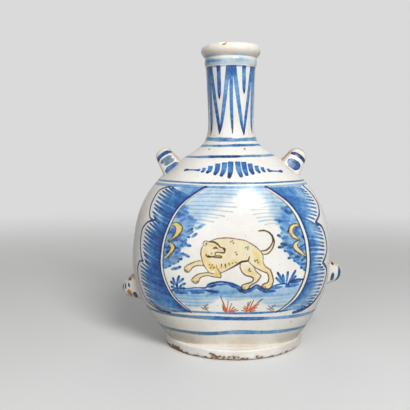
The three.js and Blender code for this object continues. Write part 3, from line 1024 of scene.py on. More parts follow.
@dataclass(frozen=True)
class Ground:
    """Blue ground with a low mound, grass tufts, and small plants along the lower edge."""

    horizon: Points = (
        (-58.1, 61.6), (-55.3, 63.8), (-50.7, 64.7), (-44.4, 64.9), (-35.4, 66.2), (-27.3, 66.3),
        (-25.5, 67.2), (-24.3, 69.3), (-20.2, 70.8), (-13, 72), (-4.1, 70.8), (1.3, 68.7), (4.9, 66.8),
        (8.5, 64.6), (13.9, 65.8), (19.2, 68.8), (24.7, 65.7), (30.2, 64.8), (32.9, 66.7), (38.5, 68.5),
        (45, 69.1), (47.8, 67.7), (50.6, 70.6), (56.4, 72.3), (63, 71.6),
    )
    dashes: Points = (
        (-56, 62.4, -42, 63.2, 2.8, 0.6), (-42, 63.2, -27, 64.4, 3, 0.55),
        (-54, 60.4, -43, 60.8, 2.6, 0.68), (-39, 61.2, -28, 62, 2.4, 0.6),
        (-27, 64.2, -15, 62.6, 2.8, 0.8), (-23.8, 67.4, -17.5, 69, 2.6, 0.86),
        (-19, 69.6, -6, 70.2, 1.8, 0.7), (-6, 69.8, 3, 66.4, 2.8, 0.76), (2, 66, 8, 62.6, 3.4, 0.86),
        (8, 62, 15, 64, 3, 0.66), (14, 64.4, 20, 67.2, 2.6, 0.62), (20, 66.4, 27, 63, 3, 0.78),
        (26, 62.4, 36, 62.8, 3, 0.74), (33, 65.6, 43, 66.6, 2.8, 0.56), (46, 66.6, 58, 67.6, 3.2, 0.62),
        (51, 69.6, 60, 70.4, 2.6, 0.8),
    )
    pools: Sequence[tuple[float, Points]] = (
        (
            0.16,
            ((-62, 62), (-28, 65.5), (-20, 66), (-14, 60), (-19, 53), (-30, 48.5), (-48, 44), (-58, 54)),
        ),
        (0.16, ((-60, 63), (-30, 65.5), (-20, 62), (-26, 57), (-44, 54), (-60, 56))),
        (0.36, ((-24, 69), (-13, 71), (0, 68.5), (8, 63), (-4, 60.5), (-22, 60.5))),
        (0.32, ((-22, 64), (8, 63.5), (24, 66), (34, 60), (16, 56.5), (-8, 57), (-26, 58))),
        (0.18, ((26, 65), (45, 67), (64, 70), (60, 56), (48, 44), (36, 47), (22, 52), (14, 58))),
        (0.15, ((30, 65), (62, 69), (60, 57), (40, 56), (26, 59))),
    )
    ripples: Points = (
        (-55, 58.6, -18, 59.2), (-53, 55.6, -16, 56.4), (-50, 52.4, -21, 53), (-45, 49.4, -24, 50.2),
        (18, 58.4, 56, 59.6), (22, 55, 55, 55.8), (28, 51.8, 52, 52.6), (34, 48.6, 48, 49.2),
        (-12, 58.2, 14, 58.8), (-8, 55.6, 8, 56),
    )
    tufts: Points = (
        (-52.6, 69, -50.2, 76.6), (-53.8, 68.4, -56.1, 74.4), (-54.8, 67.4, -58, 70.8),
        (-50.9, 69.8, -46.4, 74.2), (-49.4, 67.8, -44.8, 69.8), (-54, 65.2, -57.6, 66),
        (-49, 65, -45.4, 65.2), (-52, 62.8, -52.4, 68.6), (-50, 62.8, -48.8, 67.6),
        (44.2, 69, 37.8, 80.4), (42.6, 68.8, 36.6, 75.2), (45, 69, 43, 78), (46.6, 69, 48, 80.6),
        (48, 69, 55.8, 81.4), (48.6, 68.8, 56.2, 76),
    )
    fans: Points = (
        (-7.5, 44, -13.4, 59), (-7.5, 44.4, -11.2, 53.8), (-8.4, 44.4, -11.6, 50.6),
        (-7.5, 44, -6.2, 54.3), (-5.7, 44.4, -3.1, 52), (-4.8, 43.9, -0.8, 48.7), (-3.9, 43.9, 1, 46.8),
        (-8.4, 43.9, -11.1, 45.8), (-2.1, 43.9, 2.9, 45.3), (-9.3, 44.4, -11.6, 48.2),
        (11.5, 44.3, 7.3, 47.7), (11.5, 44.3, 8.7, 49.5), (10.6, 45.3, 11.8, 52.8),
        (12.4, 45.2, 16.7, 54.6), (12.4, 45.2, 24.9, 55.8), (13.3, 45.2, 21.8, 51.2),
        (13.3, 44.3, 20, 47.9), (14.2, 43.9, 18.7, 44.8), (10.6, 44.3, 6, 45.3), (10.6, 45.3, 14, 53.7),
    )
    twigs: Points = (
        (-30.9, 47.8, -26.4, 45.6), (-28.2, 49.8, -24.1, 43.7), (-24.6, 51.3, -29.5, 46),
        (-26.8, 47, -23.7, 48), (28.8, 47.1, 33.5, 44), (30.5, 49.4, 35.8, 43.4), (37, 49.5, 30.2, 45.1),
        (33.4, 47.4, 36.2, 45.3),
    )

    def paint(self, brush: Brush) -> None:
        """Paints the ground from its washes up."""
        for tone, pool in self.pools:
            brush.flood(pool, tone, 2.4)
        for x0, z0, x1, z1 in self.ripples:
            tone = brush.rng.uniform(0.14, 0.3)
            middle = ((x0 + x1) / 2, (z0 + z1) / 2 - 0.5)
            brush.glide(((x0, z0), middle, (x1, z1)), (1.4, 1.9, 1.2), (tone, tone, tone * 0.6), 0.6)
        for x0, z0, x1, z1, width, tone in self.dashes:
            middle = ((x0 + x1) / 2, (z0 + z1) / 2 + brush.rng.uniform(-0.4, 0.4))
            brush.stroke(
                ((x0, z0), middle, (x1, z1)), (width * 0.7, width, width * 0.6), (tone, tone, tone - 0.08)
            )
        widths = (1.2, 1.3, 1.2, 1.9, 1.8, 1.6, 1.8, 1.6, 1.5, 1.6, 1.7)
        tones = (0.78, 0.7, 0.74, 0.95, 0.92, 0.86, 0.9, 0.8, 0.78, 0.85, 0.95)
        brush.stroke(self.horizon, widths, tones, Pigment.NAVY)
        for x0, z0, x1, z1 in self.tufts:
            strong = brush.rng.uniform(0.58, 0.72)
            tip = (x0 + 0.9 * (x1 - x0), z0 + 0.9 * (z1 - z0))
            brush.stroke(((x0, z0), tip), (1.2, 1.9, 2.6, 2.2), (strong, strong, strong + 0.08, 0.94))

    def paint_plants(self, brush: Brush) -> None:
        """Paints the small plants in brown and rust."""
        for x0, z0, x1, z1 in self.fans:
            start, end = np.array((x0, z0)), np.array((x1, z1))
            middle = start + (end - start) * 0.62 + (0.0, 0.2)
            brush.stroke(
                (start, start + (end - start) * 0.72), (1.2, 1.1, 0.8), (0.9, 0.8, 0.6), Pigment.RUST
            )
            brush.stroke((middle, end), (0.8, 0.9, 0.8), (0.5, 0.75, 0.85), Pigment.BROWN)
        for x0, z0, x1, z1 in self.twigs:
            brush.stroke(((x0, z0), (x1, z1)), (0.9, 1.0, 0.8), (0.5, 0.62, 0.5), Pigment.BROWN)


@dataclass(frozen=True)
class Beast:
    """Spotted beast that strides to the left and looks back, in ochre with brown outlines."""

    back: Points = (
        (-22.4, 108.5), (-17.3, 110.5), (-11.2, 111.4), (-4.1, 111.3), (2, 110.3), (7.7, 109.4),
        (12.3, 107.2), (17.5, 104), (21.6, 100.4), (24, 97.3), (25, 93.7), (24.8, 90.5),
    )
    far_hind: Points = (
        (24.8, 90.5), (26.1, 86.9), (28.4, 84.5), (31.3, 82.8), (32.7, 79.4), (33.8, 75.6), (34.4, 72.5),
        (33.6, 69.3), (32.7, 67.2), (30.8, 65.4), (27.1, 65.1), (24.3, 66.3), (24, 68.4), (26.6, 70),
        (29.1, 70.9), (29.9, 73.2), (29.9, 76.3), (28.5, 79.6), (25.9, 80.6), (22.4, 82.3), (18.1, 84.7),
        (14.4, 87.6), (11.9, 89.9),
    )
    near_hind: Points = (
        (4.5, 88.6), (4.2, 84.6), (6.3, 80.4), (9.4, 77.8), (13.5, 76.7), (15.8, 75.3), (15.9, 73),
        (13.5, 71.2), (9.4, 70.2), (6.4, 68.9), (5.3, 67.1), (6.4, 65), (8.9, 64.4), (11.5, 65.4),
        (13, 67.7), (15.6, 69.8), (17.7, 70.9), (20, 72.4), (21.8, 75), (23, 77.1), (21.8, 78.6),
        (19.1, 80.8), (17.8, 82.9), (16, 86.2),
    )
    belly: Points = (
        (-13.2, 80), (-9.2, 81.8), (-5.1, 83.9), (-1, 86.1), (3.7, 89), (6.2, 90.2), (11.3, 91),
        (11.9, 92.6), (12.6, 94.6),
    )
    chest: Points = (
        (-28.2, 105), (-29.3, 104), (-30.6, 100.9), (-31, 97.3), (-30.4, 93.8), (-29.3, 89.6),
        (-28, 86.5), (-25.5, 82.9), (-23.4, 80.1),
    )
    near_fore: Points = (
        (-17.1, 87.2), (-16.8, 85.1), (-14.8, 82), (-13.2, 79.4), (-13, 75.8), (-15.2, 76.2),
        (-19.3, 76.5), (-24.5, 77.5), (-28.6, 76.9), (-30.9, 75.7), (-31.6, 75), (-32.4, 72.8),
        (-33.4, 71), (-35.7, 70.2), (-38.1, 71.4), (-38.9, 73.6), (-37.5, 75.5), (-35.2, 77.5),
        (-31.6, 79.2), (-27.5, 80), (-23.4, 80.1), (-19.3, 79.4),
    )
    far_fore: Points = (
        (-30.1, 90.9), (-34.2, 90.5), (-37.8, 89.1), (-40.9, 87.6), (-44, 85.8), (-45.5, 83.8),
        (-45.2, 81.2), (-43.2, 79.9), (-41.1, 80.7), (-39.3, 83.1), (-37.5, 85), (-34.5, 86.3),
        (-30.9, 86.6), (-28.2, 86.5),
    )
    ear: Points = (
        (-28.8, 105.2), (-28.9, 106.6), (-27.8, 108.2), (-26.2, 108.8), (-24.5, 107.9), (-23, 108.1),
    )
    muzzle: Points = (
        (-23, 108.1), (-19.3, 107.8), (-16.8, 106.4), (-14.8, 104.7), (-13.7, 103.2), (-11.2, 102.6),
        (-9.4, 101.7), (-9.4, 100.1), (-10.2, 98.3), (-12.8, 98.3), (-16.3, 98.8), (-18.1, 98),
        (-18.3, 96.7), (-16.8, 95.7), (-14.3, 95.7), (-12.2, 94.9), (-13.2, 93.6), (-16.8, 93.9),
    )
    jaw: Points = ((-16.8, 93.9), (-19.9, 94.6), (-23.0, 94.3), (-25.2, 94.6), (-26.5, 95.8))
    face: Points = (
        (-19.4, 102, -16.4, 102, 1.1, 0.75), (-18, 102.8, -17.2, 102.8, 1, 0.7),
        (-10.6, 102, -9.5, 100.4, 1.7, 0.9), (-15.6, 100.7, -12, 100.3, 0.7, 0.45),
        (-16.4, 94.8, -12.9, 94.6, 1.5, 0.5), (-12.5, 95, -12.7, 93.8, 1.2, 0.9),
        (-21.4, 98.3, -21.3, 96.8, 1, 0.7), (-26.3, 106.4, -25.7, 105.5, 1.3, 0.9),
        (-28.2, 104.8, -26.4, 103.9, 0.8, 0.6), (-24.6, 95.2, -21.8, 94.6, 1.5, 0.85),
        (-20.4, 95, -18.6, 94.8, 1.2, 0.7), (-26.6, 96.4, -25.4, 94.9, 1.2, 0.9),
        (-22, 108.2, -18, 107.4, 1.5, 0.95),
    )
    eye: Points = ((-20.1, 101.9), (-17.7, 103.2), (-15.8, 101.9))
    tail_inner: Points = (
        (23.7, 99.8), (26.8, 100), (30.4, 102.3), (32.8, 105.8), (33.6, 108.9), (33, 112.4),
        (30.4, 115.8), (27.3, 117.4), (24.2, 118), (20.8, 117.5),
    )
    tail_outer: Points = (
        (25.2, 96.5), (28.9, 96.9), (32, 99.6), (34.1, 103.2), (35.1, 107.3), (34.6, 110.4), (33, 113.7),
    )
    spots: Points = (
        (-4.6, 107.8), (-2.9, 108.7), (-2, 106.7), (9, 102.6), (11.1, 103.2), (10.8, 101.2), (0.2, 98.5),
        (1.1, 96.5), (17.2, 91.2), (19.6, 91.3), (20.3, 89.1), (17.8, 90), (12.6, 83.6), (11.7, 82.4),
        (12.6, 81.3), (13.7, 81.5), (-23.4, 87.4), (-20.7, 87.2), (-22.4, 84.5), (-19.3, 84.8),
        (-2.8, 88.7), (0.3, 89.3),
    )
    ribs: Points = ((-12.5, 87.8, -12.5, 85.0), (-9.2, 87.8, -8.7, 84.6), (-5.8, 88.5, -5.2, 86.9))
    glows: Points = (
        (-28, 92, -20, 84, 8, 0.26), (-20, 78.4, -14, 78.6, 4, 0.26), (-14, 84, 0, 91, 7, 0.18),
        (-27, 100, -24, 94, 6, 0.2), (-24, 105, -17, 104, 5, 0.2), (18, 98, 21, 90, 9, 0.26),
        (22, 88, 30, 80, 6, 0.24), (30.5, 78, 32, 70, 5, 0.22), (10, 82, 17, 79, 6, 0.2),
        (-37, 75, -33, 76, 5, 0.24), (-43.5, 84, -42, 83, 5, 0.24), (17, 76, 18, 73.5, 4, 0.16),
        (-22, 86, -16, 80, 8, 0.24), (-40, 86.4, -32, 88.6, 4, 0.16), (-30, 78.4, -22, 78.8, 3.6, 0.2),
        (8, 67.2, 14, 69.4, 4, 0.16), (26, 67.6, 31, 68.6, 4, 0.18),
    )
    toes: Points = (
        (-37, 71.6), (-35, 71.3), (-33.6, 71.6), (-44.4, 81.2), (-42.9, 80.9), (6.9, 66.2), (8.6, 65.7),
        (25.6, 66.5), (27.2, 66.2),
    )

    def paint(self, brush: Brush) -> None:
        """Paints the coat, then its shading, outlines and markings."""
        throat = [(-16.0, 84.0), (-20.0, 82.0)]
        underside = [self.far_hind[-4:], self.belly[:-2][::-1], throat]
        trunk = np.vstack([self.chest[::-1], self.ear[1:], self.back[1:], *underside])
        tail = np.vstack([smooth_path(self.tail_outer, 1.0), smooth_path(self.tail_inner, 1.0)[::-1]])
        coat = [trunk, self.far_hind, self.near_hind, self.near_fore, self.far_fore, tail]
        shapes = [smooth_path(np.vstack([shape, shape[:1]]), 1.0) for shape in coat]
        for shape in shapes:
            brush.blank(shape)
        for shape in shapes:
            brush.fill(shape, 0.22, Pigment.OCHRE)
        for x0, z0, x1, z1, width, amount in self.glows:
            brush.deepen(((x0, z0), (x1, z1)), width, amount, Pigment.OCHRE)
        for line in (self.back, self.chest, self.ear, self.near_fore, self.far_fore):
            brush.stroke(line, (0.8, 1.0, 0.9, 1.0, 0.8), (0.6, 0.78, 0.7, 0.78, 0.66), Pigment.BROWN)
        for line in (self.far_hind, self.near_hind):
            brush.stroke(
                line, (0.9, 1.2, 1.1, 1.2, 1.1, 0.9), (0.66, 0.86, 0.8, 0.9, 0.84, 0.66), Pigment.BROWN
            )
        brush.stroke(
            self.belly, (0.8, 1.0, 1.2, 1.9, 1.7, 1.0), (0.6, 0.8, 0.9, 1.0, 1.0, 0.7), Pigment.BROWN
        )
        brush.stroke(
            self.muzzle,
            (1.5, 1.5, 1.1, 1.4, 1.0, 0.9, 1.2),
            (0.9, 0.9, 0.8, 0.9, 0.8, 0.7, 0.8),
            Pigment.BROWN,
        )
        brush.stroke(self.jaw, (1.0, 1.5, 1.1, 1.4, 0.9), (0.8, 0.95, 0.8, 0.9, 0.7), Pigment.BROWN)
        brush.stroke(self.eye, (0.9, 1.2, 0.9), (0.8, 0.95, 0.8), Pigment.BROWN)
        for x0, z0, x1, z1, width, tone in self.face:
            brush.stroke(((x0, z0), (x1, z1)), (width, width * 0.9), (tone, tone), Pigment.BROWN)
        brush.stroke(
            self.tail_inner,
            (1.2, 1.4, 1.2, 1.5, 1.4, 1.2),
            (0.8, 0.95, 0.8, 0.95, 0.9, 0.8),
            Pigment.BROWN,
        )
        brush.stroke(self.tail_outer, (0.9, 1.1, 1.2, 1.0), (0.7, 0.85, 0.9, 0.8), Pigment.BROWN)
        for spot in self.spots:
            width = brush.rng.uniform(1.0, 1.35)
            brush.stroke((spot, np.add(spot, (0.25, 0.3))), (width, width), (0.75, 0.75), Pigment.BROWN)
        for x0, z0, x1, z1 in self.ribs:
            brush.stroke(((x0, z0), (x1, z1)), (1.3, 0.8), (0.85, 0.6), Pigment.BROWN)
        for toe in self.toes:
            brush.stroke((toe, np.add(toe, (0.0, 1.2))), (0.9, 0.7), (0.9, 0.65), Pigment.BROWN)


class Shell:
    """Gathers the faces of one closed piece, with a place for each in its unwrapped sheet."""

    def __init__(self) -> None:
        """Starts with no points."""
        self.points: list[Array] = []
        self.count = 0
        self.faces: list[list[int]] = []
        self.sheet: list[list[tuple[float, float]]] = []

    def add(self, points: Array) -> Array:
        """Adds points and gives their numbers, in the shape that the points came in."""
        flat = np.asarray(points, float).reshape(-1, 3)
        numbers = np.arange(self.count, self.count + len(flat)).reshape(np.shape(points)[:-1])
        self.points.append(flat)
        self.count += len(flat)
        return numbers

    def grid(self, numbers: Array, box: tuple[float, float, float, float]) -> None:
        """Covers a grid of points with faces.

        Args:
            numbers: The points' numbers, in rows and columns.
            box: Left, bottom, right and top of the grid's place in the sheet.
        """
        rows, columns = numbers.shape
        across = np.linspace(box[0], box[2], columns)
        up = np.linspace(box[1], box[3], rows)
        u, v = np.meshgrid(across, up)

        def cells(corners: Array) -> Array:
            """The four corners of every cell of a grid, in order round it."""
            return np.stack(
                [corners[:-1, :-1], corners[:-1, 1:], corners[1:, 1:], corners[1:, :-1]], axis=2
            )

        self.faces.extend(cells(numbers).reshape(-1, 4).tolist())
        self.sheet.extend(cells(np.stack([u, v], axis=-1)).reshape(-1, 4, 2).tolist())

    def patch(self, numbers: Sequence[int], box: tuple[float, float, float, float]) -> None:
        """Closes a hole with one face, laid round the middle of a box of the sheet."""
        turn = np.linspace(0.0, 2 * math.pi, len(numbers), endpoint=False)
        half_wide, half_high = (box[2] - box[0]) / 2, (box[3] - box[1]) / 2
        across, up = (box[0] + box[2]) / 2, (box[1] + box[3]) / 2
        self.faces.append([int(number) for number in numbers])
        self.sheet.append([(across + half_wide * math.cos(a), up + half_high * math.sin(a)) for a in turn])

    def stacked(self) -> Array:
        """All the points, in millimetres."""
        return np.vstack(self.points)

    def piece(self, name: str, points: Array, crease: float = 42.0) -> bpy.types.Object:
        """Makes the object.

        Args:
            name: The piece's name.
            points: The points' final places, in millimetres.
            crease: The angle in degrees beyond which an edge stays sharp.

        Returns:
            The object, linked into the scene.
        """
        mesh = bpy.data.meshes.new(name)
        mesh.from_pydata((points * MM).tolist(), [], self.faces, shade_flat=False)
        layer = mesh.uv_layers.new(name="OFBake")
        corners = [corner for face in self.sheet for corner in face]
        layer.data.foreach_set("uv", np.array(corners, np.float32).ravel())
        if enclosed(mesh) < 0.0:
            mesh.flip_normals()
        mesh.set_sharp_from_angle(angle=math.radians(crease))
        mesh.update()
        thing = bpy.data.objects.new(name, mesh)
        bpy.context.scene.collection.objects.link(thing)
        return thing


def enclosed(mesh: bpy.types.Mesh) -> float:
    """The signed volume that a closed mesh holds: negative where its faces look inwards."""
    mesh.calc_loop_triangles()
    corners = np.empty(len(mesh.loop_triangles) * 3, np.int32)
    mesh.loop_triangles.foreach_get("vertices", corners)
    places = np.empty(len(mesh.vertices) * 3, np.float32)
    mesh.vertices.foreach_get("co", places)
    a, b, c = places.reshape(-1, 3)[corners.reshape(-1, 3)].astype(float).transpose(1, 0, 2)
    return float(np.einsum("ij,ij->i", a, np.cross(b, c)).sum() / 6.0)


class Board:
    """A material's node tree, with short calls for the nodes that the glazes share."""

    def __init__(self, name: str) -> None:
        """Starts a material with only its shader."""
        self.material = bpy.data.materials.new(name)
        self.material.use_nodes = True
        self.tree = self.material.node_tree
        self.shader = self.tree.nodes["Principled BSDF"]
        self.place = self.node("ShaderNodeTexCoord").outputs["Object"]

    def node(self, kind: str, **settings: object) -> bpy.types.Node:
        """Adds a node and sets its options."""
        made = self.tree.nodes.new(kind)
        for name, value in settings.items():
            setattr(made, name, value)
        return made

    def feed(self, socket: Socket, value: Value | Colour) -> None:
        """Links or sets one input."""
        if isinstance(value, bpy.types.NodeSocket):
            self.tree.links.new(value, socket)
        else:
            socket.default_value = value

    def math(self, operation: str, a: Value, b: Value = 0.0, c: Value = 0.0) -> Socket:
        """Works out a number."""
        made = self.node("ShaderNodeMath", operation=operation)
        for socket, value in zip(made.inputs, (a, b, c)):
            self.feed(socket, value)
        return made.outputs[0]

    def ease(self, value: Value, low: float, high: float, start: float = 0.0, end: float = 1.0) -> Socket:
        """Eases a number from one range to another."""
        made = self.node("ShaderNodeMapRange", interpolation_type="SMOOTHSTEP")
        names = ("Value", "From Min", "From Max", "To Min", "To Max")
        for name, given in zip(names, (value, low, high, start, end)):
            self.feed(made.inputs[name], given)
        return made.outputs["Result"]

    def noise(self, scale: float, detail: float = 2.0, rough: float = 0.5) -> Socket:
        """Gives a soft random number that changes over the clay, with the scale in features per metre."""
        made = self.node("ShaderNodeTexNoise")
        self.feed(made.inputs["Vector"], self.place)
        for name, given in zip(("Scale", "Detail", "Roughness"), (scale, detail, rough)):
            made.inputs[name].default_value = given
        return made.outputs["Fac"]

    def mix(self, part: Value, a: Socket | Colour, b: Socket | Colour, blend: str = "MIX") -> Socket:
        """Mixes two colours."""
        made = self.node("ShaderNodeMix", data_type="RGBA", blend_type=blend)
        self.feed(made.inputs["Factor"], part)
        self.feed(made.inputs[6], a)
        self.feed(made.inputs[7], b)
        return made.outputs[2]

    def ramp(self, value: Socket, stops: Sequence[tuple[float, Colour]]) -> Socket:
        """Reads a colour off a scale of stops."""
        made = self.node("ShaderNodeValToRGB")
        scale = made.color_ramp
        while len(scale.elements) < len(stops):
            scale.elements.new(1.0)
        for element, (position, colour) in zip(scale.elements, stops):
            element.position, element.color = position, colour
        self.feed(made.inputs["Fac"], value)
        return made.outputs["Color"]

    def sheet(self, name: str) -> tuple[Socket, Socket, Socket]:
        """Reads three numbers of the painter's canvas."""
        made = self.node("ShaderNodeAttribute", attribute_name=name)
        split = self.node("ShaderNodeSeparateXYZ")
        self.tree.links.new(made.outputs["Vector"], split.inputs[0])
        return split.outputs[0], split.outputs[1], split.outputs[2]

    def bump(self, height: Socket, depth: float, under: Socket | None = None) -> Socket:
        """Turns a height into a tilt of the surface, with the depth in metres."""
        made = self.node("ShaderNodeBump")
        made.inputs["Strength"].default_value = 1.0
        made.inputs["Distance"].default_value = depth
        self.feed(made.inputs["Height"], height)
        if under is not None:
            self.feed(made.inputs["Normal"], under)
        return made.outputs["Normal"]


CLEAR: Colour = (1.0, 1.0, 1.0, 1.0)
WHITE = srgb(236, 235, 230)


def through(red: float, green: float, blue: float) -> Colour:
    """What a pigment lets through, for the screen colour that it shows over the white glaze."""
    shown = srgb(red, green, blue)
    return tuple(min(1.0, s / w) for s, w in zip(shown[:3], WHITE[:3])) + (1.0,)


COBALT_SCALE = (
    (0.0, CLEAR), (0.16, through(197, 213, 224)), (0.34, through(152, 187, 214)), (
        0.52, through(101, 153, 202)
    ),
    (0.68, through(61, 117, 181)), (0.82, through(43, 84, 149)), (1.0, through(34, 42, 80)),
)
OCHRE_SCALE = (
    (0.0, CLEAR), (0.27, through(232, 219, 178)), (0.55, through(226, 200, 120)),
    (0.8, through(212, 170, 80)), (1.0, through(184, 136, 58)),
)
BROWN_SCALE = (
    (0.0, CLEAR), (0.25, through(196, 188, 184)), (0.5, through(152, 134, 110)),
    (0.85, through(92, 74, 52)), (1.0, through(54, 44, 36)),
)
RUST_SCALE = ((0.0, CLEAR), (0.6, through(224, 148, 114)), (1.0, through(204, 98, 66)))


@dataclass(frozen=True)
class Glaze:
    """A tin glaze over buff clay, with what the painter laid in it and how it has aged."""

    name: str
    slot: str
    white: Colour = WHITE
    shade: Colour = srgb(224, 221, 213)
    blush: Colour = srgb(232, 224, 214)
    clay: Colour = srgb(150, 112, 78)
    clay_deep: Colour = srgb(104, 74, 50)
    # The colour that grime and painted shade darken the glaze towards.
    grime_and_shade: Colour = srgb(204, 189, 166)
    gloss: float = 0.19
    dull: float = 0.36
    peel: float = 0.00004
    speckle: float = 1.0

    def material(self) -> bpy.types.Material:
        """Makes the material."""
        board = Board(self.name)
        shader = board.shader
        shader.inputs["IOR"].default_value = 1.52
        shader.inputs["Specular IOR Level"].default_value = 0.36
        colour = self._painted(board, self._body(board))
        bare, rough = self._bare(board)
        clay = board.mix(board.noise(420.0, 4.0, 0.6), self.clay, self.clay_deep)
        board.feed(shader.inputs["Base Color"], board.mix(bare, colour, clay))
        board.feed(shader.inputs["Roughness"], rough)
        peel = board.bump(board.noise(130.0, 2.0, 0.4), self.peel * 4)
        pits = board.bump(board.noise(640.0, 2.0, 0.5), self.peel, under=peel)
        grit = board.math("MULTIPLY", board.noise(900.0, 5.0, 0.7), bare)
        board.feed(shader.inputs["Normal"], board.bump(grit, 0.0005, under=pits))
        return board.material

    def _body(self, board: Board) -> Socket:
        """The white of the glaze with its clouds, blush and specks."""
        cloud = board.ease(board.noise(24.0, 3.0, 0.55), 0.38, 0.68)
        white = board.mix(cloud, self.white, self.shade)
        warm = board.ease(board.noise(38.0, 2.0, 0.5), 0.5, 0.74, 0.0, 0.7)
        white = board.mix(warm, white, self.blush)
        grain = board.ease(board.noise(420.0, 3.0, 0.6), 0.3, 0.75, 0.0, 0.5)
        white = board.mix(grain, white, self.shade)
        speck = board.ease(board.noise(560.0, 1.0, 0.4), 0.755, 0.79, 0.0, 0.7 * self.speckle)
        return board.mix(speck, white, srgb(140, 112, 88))

    def _painted(self, board: Board, white: Socket) -> Socket:
        """Lays the painter's pigments over the white.

        Args:
            board: The material's nodes.
            white: The colour of the bare glaze.

        Returns:
            The painted colour.
        """
        wash, cobalt, cobalt_tone = board.sheet("blue")
        navy, navy_tone, brown = board.sheet("line")
        ochre, ochre_tone, brown_tone = board.sheet("warm")
        rust, _, grime_and_shade = board.sheet("worn")
        shiver = board.math("MULTIPLY_ADD", board.noise(760.0, 2.0, 0.5), 0.56, -0.28)
        pool = board.noise(230.0, 3.0, 0.6)
        load = board.ease(pool, 0.25, 0.75, 0.8, 1.18)

        def cover(edge: Socket, soft: float) -> Socket:
            """How far a point lies under a mark with an edge."""
            return board.ease(board.math("ADD", edge, shiver), -soft, soft)

        def laid(edge: Socket, tone: Socket, soft: float) -> Socket:
            """The strength of a mark, with the brush's uneven load."""
            return board.math("MULTIPLY", board.math("MULTIPLY", cover(edge, soft), tone), load)

        clear = board.math("SUBTRACT", 1.0, board.math("MULTIPLY", wash, load))
        for strength in (laid(cobalt, cobalt_tone, 0.3), laid(navy, navy_tone, 0.28)):
            clear = board.math("MULTIPLY", clear, board.math("SUBTRACT", 1.0, strength))
        blue = board.math("SUBTRACT", 1.0, clear)
        colour = board.mix(1.0, white, board.ramp(laid(ochre, ochre_tone, 0.4), OCHRE_SCALE), "MULTIPLY")
        colour = board.mix(1.0, colour, board.ramp(blue, COBALT_SCALE), "MULTIPLY")
        colour = board.mix(1.0, colour, board.ramp(cover(rust, 0.35), RUST_SCALE), "MULTIPLY")
        colour = board.mix(1.0, colour, board.ramp(laid(brown, brown_tone, 0.3), BROWN_SCALE), "MULTIPLY")
        # Darkens the colour by the canvas's amount: grime, and painted shade in hollows.
        grimed_and_shaded = board.math(
            "MULTIPLY", grime_and_shade, board.ease(board.noise(60.0, 4.0, 0.65), 0.3, 0.7, 0.55, 1.0)
        )
        return board.mix(grimed_and_shaded, colour, board.mix(1.0, colour, self.grime_and_shade, "MULTIPLY"))

    def _bare(self, board: Board) -> tuple[Socket, Socket]:
        """Where the glaze is chipped away, and how rough the surface is."""
        _, bare, _ = board.sheet("worn")
        ragged = board.math("MULTIPLY_ADD", board.noise(520.0, 4.0, 0.65), 2.4, -1.2)
        gone = board.ease(board.math("ADD", bare, ragged), -0.12, 0.12)
        polish = board.ease(board.noise(60.0, 3.0, 0.6), 0.3, 0.7, self.gloss, self.dull)
        return gone, board.math("MAXIMUM", polish, board.math("MULTIPLY", gone, 0.85))


BODY_GLAZE = Glaze("painted_glaze", "painted_glaze")
LIP_GLAZE = Glaze(
    "lip_glaze",
    "lip_glaze",
    white=srgb(244, 240, 231),
    shade=srgb(234, 226, 213),
    blush=srgb(236, 221, 201),
    clay=srgb(168, 154, 132),
    clay_deep=srgb(118, 104, 86),
    gloss=0.2,
    dull=0.4,
)
FOOT_GLAZE = Glaze(
    "foot_glaze",
    "foot_glaze",
    shade=srgb(222, 215, 204),
    clay=srgb(166, 136, 106),
    clay_deep=srgb(96, 74, 55),
    # A grey brown, for grime and for the painted shade in the hollow over the ledge.
    grime_and_shade=srgb(176, 163, 144),
    gloss=0.2,
    dull=0.42,
)
LOOP_GLAZE = Glaze(
    "loop_glaze",
    "loop_glaze",
    white=srgb(234, 231, 225),
    shade=srgb(220, 212, 202),
    clay=srgb(202, 144, 88),
    clay_deep=srgb(146, 100, 62),
    # A tan, for the worn top and for the painted shade in the cord hole.
    grime_and_shade=srgb(206, 178, 138),
    gloss=0.14,
    dull=0.3,
)


@dataclass
class Dress:
    """The finishes, made once and shared by the pieces that wear them."""

    made: dict[str, bpy.types.Material] = field(default_factory=dict)

    def put(self, piece: bpy.types.Object, glaze: Glaze, node: str) -> bpy.types.Object:
        """Dresses a piece and ties it to the frame.

        Args:
            piece: The piece.
            glaze: Its finish.
            node: The solid that it stands for.

        Returns:
            The same piece.
        """
        if glaze.name not in self.made:
            self.made[glaze.name] = glaze.material()
        piece.data.materials.append(self.made[glaze.name])
        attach(piece, "root")
        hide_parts(node)
        LOG.info("%s: %d faces for %s", piece.name, len(piece.data.polygons), node)
        return piece


